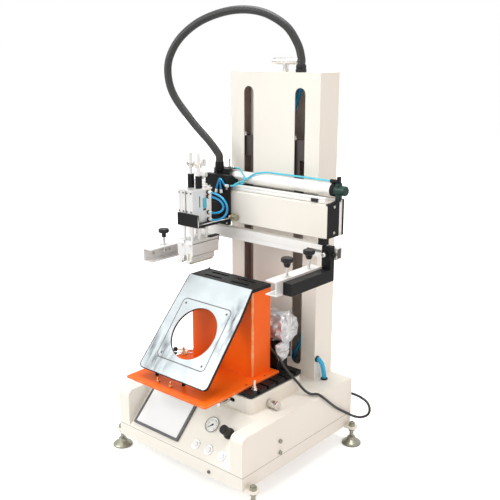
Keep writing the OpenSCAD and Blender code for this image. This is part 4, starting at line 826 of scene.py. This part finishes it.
# %% Line from the head to the carriage
head_route = [(240, 132, 847), (230, 132, 847), (200, 132, 847), (130, 134, 847), (60, 134, 847),
              (14, 132, 847), (-8, 124, 845), (-26, 117, 841), (-50, 109, 826), (-66, 103, 815),
              (-75, 93, 811), (-76, 83, 808), (-71, 72, 806), (-75, 67, 805), (-81, 67, 805)]
head_line = piece("head_air_line", [round_bar(head_route, 6)], cyan_line, None, sharp=60)
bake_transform(head_line)
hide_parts("head_tube")
print("head line has", len(head_line.data.vertices), "points")

# %% [markdown]
# On the carriage two lines loop out of the blade unit and back, and short ones climb the plate,
# meet at a peak and run on to the elbow. The loops are half circles stretched sideways, as stiff
# tube takes them between two fittings.

# %% Loops and links on the carriage
LOOP_Y, LOOP_X = -10, -92.5
OUTER, INNER = (712, 794), (733, 781)


def loop(heights, reach_x):
    """A tube from the lower fitting to the upper one. Its height follows a cosine and its reach
    to the side a power of a sine, which makes it leave both fittings squarely."""
    t = np.linspace(0, np.pi, 25)
    x = LOOP_X + (reach_x - LOOP_X) * np.sin(t) ** 0.9
    z = (heights[0] + heights[1]) / 2 - (heights[1] - heights[0]) / 2 * np.cos(t)
    return np.stack([x, LOOP_Y + 1.5 * np.sin(t), z], -1)


carriage_lines = piece("carriage_air_lines", [
    round_bar(loop(OUTER, -25.7), 6), round_bar(loop(INNER, -41), 6),
    round_bar([(-132, 58.4, 789), (-128, 58.4, 800), (-121, 58.6, 818), (-117, 59, 824),
               (-112, 59, 822), (-104, 58.8, 814), (-97, 58.8, 807), (-90, 59, 805)], 6.2),
    round_bar([(-111, 58.4, 789), (-113, 58.4, 802), (-115, 58.6, 812), (-116, 58.8, 818),
               (-116, 58.8, 822)], 6.2)], blue_line, "carriage", sharp=60)
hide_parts("carriage_tubes")
piece("carriage_branch_line", [
    round_bar([(-126, 130, 848), (-112, 130, 849), (-97, 127, 848), (-78, 118, 839),
               (-65, 112, 828), (-60, 103, 814), (-66, 93, 806), (-76, 86, 806)], 4.6)],
      cyan_line, "carriage", sharp=60)
print("carriage lines", len(carriage_lines.data.vertices), "points")

# %% [markdown]
# Each line ends in a push-in fitting: a hexagonal nut with a pale release collar in it. Eight
# socket screws hold the carriage's plate.

# %% Fittings and plate screws
NUT = [(0, 0), (6.4, 0), (6.4, 4.4), (5.4, 5.2), (0, 5.2)]
COLLAR = [(0, 0), (4.6, 0), (4.6, 5), (4.0, 5.6), (4.0, 7.5), (4.4, 8), (4.4, 10), (3.4, 10.6),
          (0, 10.6)]
fitting_z = sorted(OUTER + INNER)
turned("loop_nuts", [((-102.6, LOOP_Y, z), RIGHT, NUT) for z in fitting_z], moulded,
       "carriage", sides=6)
turned("loop_collars", [((-97.2, LOOP_Y, z), RIGHT, COLLAR) for z in fitting_z],
       white_plastic, "carriage")
turned("leg_collars", [((-132.4, 58.4, 781), (0.16, 0, 1), COLLAR),
                       ((-110.8, 58.4, 781), (-0.1, 0, 1), COLLAR),
                       ((-84, 59.4, 805), (-1, 0.05, 0), COLLAR)], white_plastic, "carriage")
turned("plate_screws", [((x, 61.9, z), FRONT, cap_screw(r, 3.2)) for x, z, r in (
    (-174, 829, 5.4), (-174, 798, 5.4), (-160.4, 797.6, 3.2), (-90.5, 795.8, 3.2),
    (-90.5, 740.4, 3.0), (-90.5, 689.6, 3.0), (-123, 689.4, 3.0), (-149, 689.4, 3.0))],
    bright_steel, "carriage")
print(len(fitting_z), "fittings at the loops")

# %% [markdown]
# ## The blade units
#
# Each blade hangs from a compact guided air cylinder. Its front shows the rounded ribs of an
# extruded body, screws and sensor slots. The ribs of a unit are one outline, carried up it: a
# straight back, and a front of three bulges.

# %% Ribs, slots and screws of the blade units
def ribbed(x0, x1, ribs, back=-72.8, proud=2.6):
    """Outline in (x, y) of a ribbed front between x0 and x1: each rib bulges as a half sine."""
    x = np.linspace(x0, x1, 12 * ribs + 1)
    bulge = np.abs(np.sin((x - x0) / (x1 - x0) * ribs * np.pi)) ** 0.6
    front = np.stack([x, back - 0.4 - proud * bulge], -1)
    return np.concatenate([front, [(x1, back), (x0, back)]])


unit_ribs = piece("unit_ribs", [
    bar(ribbed(-161, -134, 3), 2, (738, 801)), bar(ribbed(-129, -103, 3), 2, (738, 801))],
    aluminium, "carriage", sharp=30)
turned("unit_screws", [((x, -75.6, z), FRONT, cap_screw(2.6, 1.4))
                       for x in (-156.5, -138.5, -124.6, -107.4) for z in (797, 742)],
       dull_steel, "carriage", sides=18)
blocks("unit_side_slot", [((-102.6, -46, 752), (-102.1, -42.6, 786), 1.6),
                          ((-102.7, -30, 741), (-101.8, -18, 747), 1.5)],
       dull_steel, "carriage", sharp=40)
blocks("unit_sensor", [((-102.8, -30, 748), (-99.6, -18, 779), 3)], cyan_line, "carriage")
blocks("unit_side_foot", [((-103, -41, 706.4), (-100.8, -24, 738), 1.4),
                          ((-103, -20, 706.4), (-101.6, -13, 736), 1.2)], aluminium, "carriage")
blocks("unit_top_plates", [((-128, -12, 807), (-104, 3, 811), 2),
                           ((-158, -10, 807), (-138, 3, 810), 2)], aluminium, "carriage", along=2)
print("unit ribs", len(unit_ribs.data.polygons), "faces")

# %% [markdown]
# A strip on top of the carriage carries the lines over the beam, with a small pin and a nut
# standing on it. Seen from the side it is bent once. Three brass rings lie on the stop knob.

# %% Line bracket
bend_outline = [(99, 820), (102.4, 820), (104, 844.6), (138, 844.6), (138, 847.8), (101, 847.8)]
piece("line_bracket", [bar(bend_outline, 0, (-180, -118))], anodised, "carriage", sharp=30)
turned("bracket_pin", [((-143, 132, 847.6), UP,
                        [(0, 0), (4.5, 0), (4.5, 4), (2.6, 5), (2.6, 22), (3.4, 23), (3.4, 27),
                         (0, 27)]),
                       ((-126, 130, 847.6), UP, [(0, 0), (5, 0), (5, 5), (4, 6), (0, 6)])],
       bright_steel, "carriage")
RING = [(0, 0), (9.9, 0), (10.1, 1), (9.9, 2), (0, 2)]
turned("stop_pin_rings", [((x, 66, 710), RIGHT, RING) for x in (-72.5, -66, -60)],
       brass, "carriage")
print("bracket outline has", len(bend_outline), "points")

# %% [markdown]
# ## The beam and the slots
#
# One sensor sits at the right end of the beam's cover, another under the long cylinder, and two
# screws hold the end plate. A strip covers the clamp bar's slot between the clamps, and the
# cover's two long seams show as dark gaps. In the column's slots the tops of two bolts show, and
# a blue line runs behind the right slot.

# %% Beam and column details
blocks("beam_sensors", [((209, 81, 792.3), (231, 110, 801.5), 1.5),
                        ((109, 101, 791.5), (145, 113, 796.2), 1.0)], moulded, "head")
blocks("bar_slot_cover", [((-190, 72.3, 653.2), (205, 74.6, 660.8), 0.4)], extruded, "head")
blocks("cover_gaps", [((-267, 78.4, 791.4), (267, 80.0, 792.25), 0.3),
                      ((-267, 104.0, 791.4), (262, 105.2, 792.25), 0.3)], moulded, "head")
turned("beam_sensor_screw", [((221, 88, 800.8), UP, cap_screw(3, 2.4))], bright_steel, "head")
turned("end_plate_screws", [((266.6, y, z), RIGHT, cap_screw(4.2, 3.0))
                            for y, z in ((113, 705), (113, 779))], bright_steel, "head")
BOLT = [(0, 0), (7.6, 0), (7.6, 4), (6, 6), (6, 10), (4, 11), (0, 11)]
turned("slider_bolts", [((x, 182, 945), UP, BOLT) for x in (71, -124)], white_plastic, "head")
column_line = piece("column_air_line", [
    round_bar([(80, 206, 1112), (76, 205, 1098), (68, 205, 1076), (58, 206, 1054), (50, 208, 1034),
               (43, 211, 1010), (40, 215, 970), (40, 216, 800)], 15),
    round_bar([(98, 204, 340), (95, 199, 312), (86, 196, 288), (72, 198, 262), (62, 204, 240),
               (60, 208, 229)], 12)], blue_line, "base", sharp=60)
print("column line has", len(column_line.data.vertices), "points")

# %% [markdown]
# ## Small parts of the case
#
# A fine gap runs round the case where the cover sits on the pan. It is a thin band whose section
# is a small rectangle, most of it inside the wall.

# %% Gap round the case
CASE_HALF, CASE_FRONT, CASE_BACK = 250, -258, 262
BAND = ((0.12, 93.5), (0.12, 94.5), (-0.8, 94.5), (-0.8, 93.5), (0.12, 93.5))
corners = box_outline(-CASE_HALF, CASE_FRONT, CASE_HALF, CASE_BACK, 0.6, 4)
ring = np.stack([np.concatenate([corners * (1 + grow / CASE_HALF),
                                 np.full((len(corners), 1), z)], 1) for grow, z in BAND])
piece("case_gap", [grid(ring * MM, closed=True)], dull_steel, "base", sharp=20)
print("gap is", round(2 * CASE_HALF + CASE_BACK - CASE_FRONT), "mm long on two sides")

# %% [markdown]
# The gauge has a printed scale of plain strokes over three quarters of a turn, longer at every
# fifth, and a thin dark ring at its bezel, which is painted shade of the gap round the dial. The
# regulator's cap is turned in rings. Both lie in the sloped panel's own directions: x across, s up
# the slope and h out of it.

# %% Gauge scale, shade ring and regulator rings
GAUGE_X, GAUGE_S, REGULATOR_X, REGULATOR_S = 78, 97, 144, 93
CAP_TOP, STROKES = 36.3, 26


def on_panel(x, s, h):
    """A point of the sloped panel: s up its slope from the lower edge."""
    return on_plane(PANEL_AT, PANEL_TILT, x, s, h)


def stroke(k, outer=17):
    """Stroke k of the scale: a thin rectangle from an inner radius to the outer one, raised."""
    way = math.radians(225 - 270 * k / (STROKES - 1))
    inner, half = (12.2, 0.55) if k % 5 == 0 else (14.0, 0.3)
    out, aside = (np.array([math.cos(a), math.sin(a)]) for a in (way, way + math.pi / 2))
    x, s = np.array([inner * out - half * aside, outer * out - half * aside,
                     outer * out + half * aside, inner * out + half * aside]).T
    return grid(np.stack([on_panel(GAUGE_X + x, GAUGE_S + s, h) for h in (1.8, 2.15)]) * MM,
                closed=True, caps=True)


scale = piece("gauge_scale", [stroke(k) for k in range(STROKES)], moulded, "base")
# A dark ring at the bezel: painted shade of the gap round the dial.
turned("gauge_ring_painted_shade", [(on_panel(GAUGE_X, GAUGE_S, 4.4), SLOPE,
                      [(21.2, 0), (23.2, 0), (23.2, 1.2), (21.2, 1.2), (21.2, 0)])],
       dull_steel, "base", sides=64)
turned("regulator_rings", [(on_panel(REGULATOR_X, REGULATOR_S, CAP_TOP - 0.6), SLOPE,
                            [(0, 0.2), (3, 0.2), (3, 1.2), (5, 1.2), (5, 0.2), (8.4, 0.2),
                             (8.4, 1.2), (10.6, 1.2), (10.6, 0.2), (0, 0.1)])],
       anodised, "regulator", sides=48)
print("gauge scale has", len(scale.data.polygons), "faces")

# %% [markdown]
# ## Painted highlight and wear on the bend, and last fittings
#
# The orange upright is bent from one sheet. Along the bend lies a pale strip: a painted highlight
# of the rounded bend, as well as paint rubbed thin there. It is a thin shell over the bend, whose
# width changes with the height by two slow waves and by chance.

# %% Bend with painted highlight and wear
# Pale orange: a painted highlight of the rounded bend, and paint rubbed thin there.
orange_wear_and_highlight = finish(
    "orange_wear_and_highlight", (1.0, 0.50, 0.27), (1.0, 0.34, 0.12), (1.0, 0.75, 0.55), (0.3, 0.42), grain=420,
    bump=0.00003, edge=0.0005, blotch=60)
BEND_X, BEND_Y, BEND_R = 105, -48, 8
up = np.linspace(277, 535, 90)[:, None]
draw = np.random.default_rng(3)
wide = 20 + 9 * np.sin(up / 17) * np.sin(up / 41) + 5 * draw.random(up.shape)
across = np.linspace(-1, 1, 9)
way = np.radians(-45 + wide * np.concatenate([across, across[::-1]]))
r = BEND_R + np.repeat([0.25, -0.8], len(across))
bend = np.stack(np.broadcast_arrays(BEND_X + r * np.cos(way), BEND_Y + r * np.sin(way), up), -1)
piece("bend_wear_and_highlight", [grid(bend * MM, closed=True, caps=True)], orange_wear_and_highlight, "table", sharp=30)
print("worn strip is", round(float(wide.min())), "to", round(float(wide.max())), "degrees wide")

# %% [markdown]
# A thin locating rod with a black head lies at the fixture's left, seen through the hole. Screws
# hold the clamps, and two fine lines show where the squeegee's holder is joined.

# %% Locating rod, screws and lines
piece("locating_rod", [round_bar([(-190, -75, 292), (-168, -61, 292), (-122, -32, 292)], 4),
                       round_bar([(-180, -76, 285), (-165, -66, 285), (-140, -50, 285)], 3)],
      bright_steel, "table", sharp=30)
turned("locating_rod_heads", [((-190, -75, 287), UP,
                               [(0, 0), (6, 0), (7, 3), (7, 9), (5, 11), (0, 11)]),
                              ((-182, -77, 281), (-1, -0.6, 0), [(0, 0), (4, 0), (4, 9), (0, 9)])],
       moulded, "table")
turned("clamp_web_screws", [((-252, y, 600), RIGHT, cap_screw(4.5, 3)) for y in (-100, -33)],
       bright_steel, "left_clamp")
turned("arm_bolt", [((283, 47.4, 657), FRONT, cap_screw(6.5, 7))], bright_steel, "right_clamp")
lines = blocks("holder_lines", [((-100.2, -78, 645.4), (-99.4, 31, 647.0), 0.3),
                                ((-105.2, -78, 606.8), (-104.6, 17, 608.2), 0.25)],
               dull_steel, "squeegee", along=1, steps=2, sharp=40)
print("holder lines have", len(lines.data.polygons), "faces")

# %% [markdown]
# ## Light and floor
#
# The machine was photographed against pure white. The white comes from the world and the floor as
# the camera and the reflections see them, not from stronger lamps, which would bleach the paint.

# %% World
world = bpy.data.worlds.new("studio")
bpy.context.scene.world = world
world.use_nodes = True
sky = world.node_tree
sky.nodes.clear()
seen = node(sky, "LightPath")
direct = number(sky, "MAXIMUM", seen.outputs["Is Camera Ray"], seen.outputs["Is Glossy Ray"])
direct = number(sky, "MAXIMUM", direct, seen.outputs["Is Transmission Ray"])
room = node(sky, "Background", {"Color": (1.0, 0.985, 0.97, 1), "Strength": 0.55})
white = node(sky, "Background", {"Color": (1, 1, 1, 1), "Strength": 1.0})
both = node(sky, "MixShader", {0: direct, 1: room.outputs[0], 2: white.outputs[0]})
node(sky, "OutputWorld", {"Surface": both.outputs[0]})
print("world is white to the camera and", room.inputs["Strength"].default_value, "to surfaces")


# %% [markdown]
# The light is soft and comes from the front left, and the machine's right side is a little darker
# and warmer. Three large lamps do that.

# %% Lamps
def lamp(name, place, aim, size, power, colour):
    """A square soft lamp at a place, turned so that it shines at the aim point."""
    data = bpy.data.lights.new(name, "AREA")
    data.size, data.energy, data.color = size, power, colour
    made = bpy.data.objects.new(name, data)
    made.location = place
    look = np.subtract(aim, place)
    made.rotation_euler = (math.acos(-look[2] / np.linalg.norm(look)), 0,
                           math.atan2(look[1], look[0]) - math.pi / 2)
    bpy.context.scene.collection.objects.link(made)


lamp("key", (-1.3, -2.6, 2.3), (0, 0, 0.55), 1.8, 48, (1.0, 0.99, 0.975))
lamp("fill", (2.8, -0.3, 1.3), (0, 0, 0.5), 1.8, 14, (1.0, 0.73, 0.60))
lamp("top", (0.0, 0.2, 3.2), (0, 0, 0.5), 1.6, 62, (1, 1, 1))
bpy.context.scene.view_settings.view_transform = "Standard"
print(len(bpy.data.lights), "lamps")

# %% [markdown]
# The floor is pale and plain. It takes the machine's shadow, and away from the machine it glows
# to the camera alone, so that it runs into the white behind it.

# %% Floor
floor_paint, tree, place = empty_finish("floor_paint")
path = node(tree, "LightPath")
matt = node(tree, "BsdfPrincipled", {
    "Base Color": mix(tree, noise(tree, place, 3.0), (0.90, 0.90, 0.90), (0.86, 0.86, 0.86)),
    "Roughness": 0.7})
from_middle = vector(tree, "LENGTH", place)["Value"]
glow = node(tree, "Emission", {"Color": (1, 1, 1, 1),
                               "Strength": ramp(tree, from_middle, 0.6, 2.4, 0.45, 1.0)})
lit = node(tree, "MixShader", {0: path.outputs["Is Camera Ray"], 2: glow.outputs[0]})
total = node(tree, "AddShader", {0: matt.outputs[0], 1: lit.outputs[0]})
node(tree, "OutputMaterial", {"Surface": total.outputs[0]})
HALF = 9.0
square = np.array([[[-HALF, -HALF, 0], [HALF, -HALF, 0]], [[-HALF, HALF, 0], [HALF, HALF, 0]]])
floor = piece("floor", [grid(square)], floor_paint, None)
print("floor", 2 * HALF, "m wide")
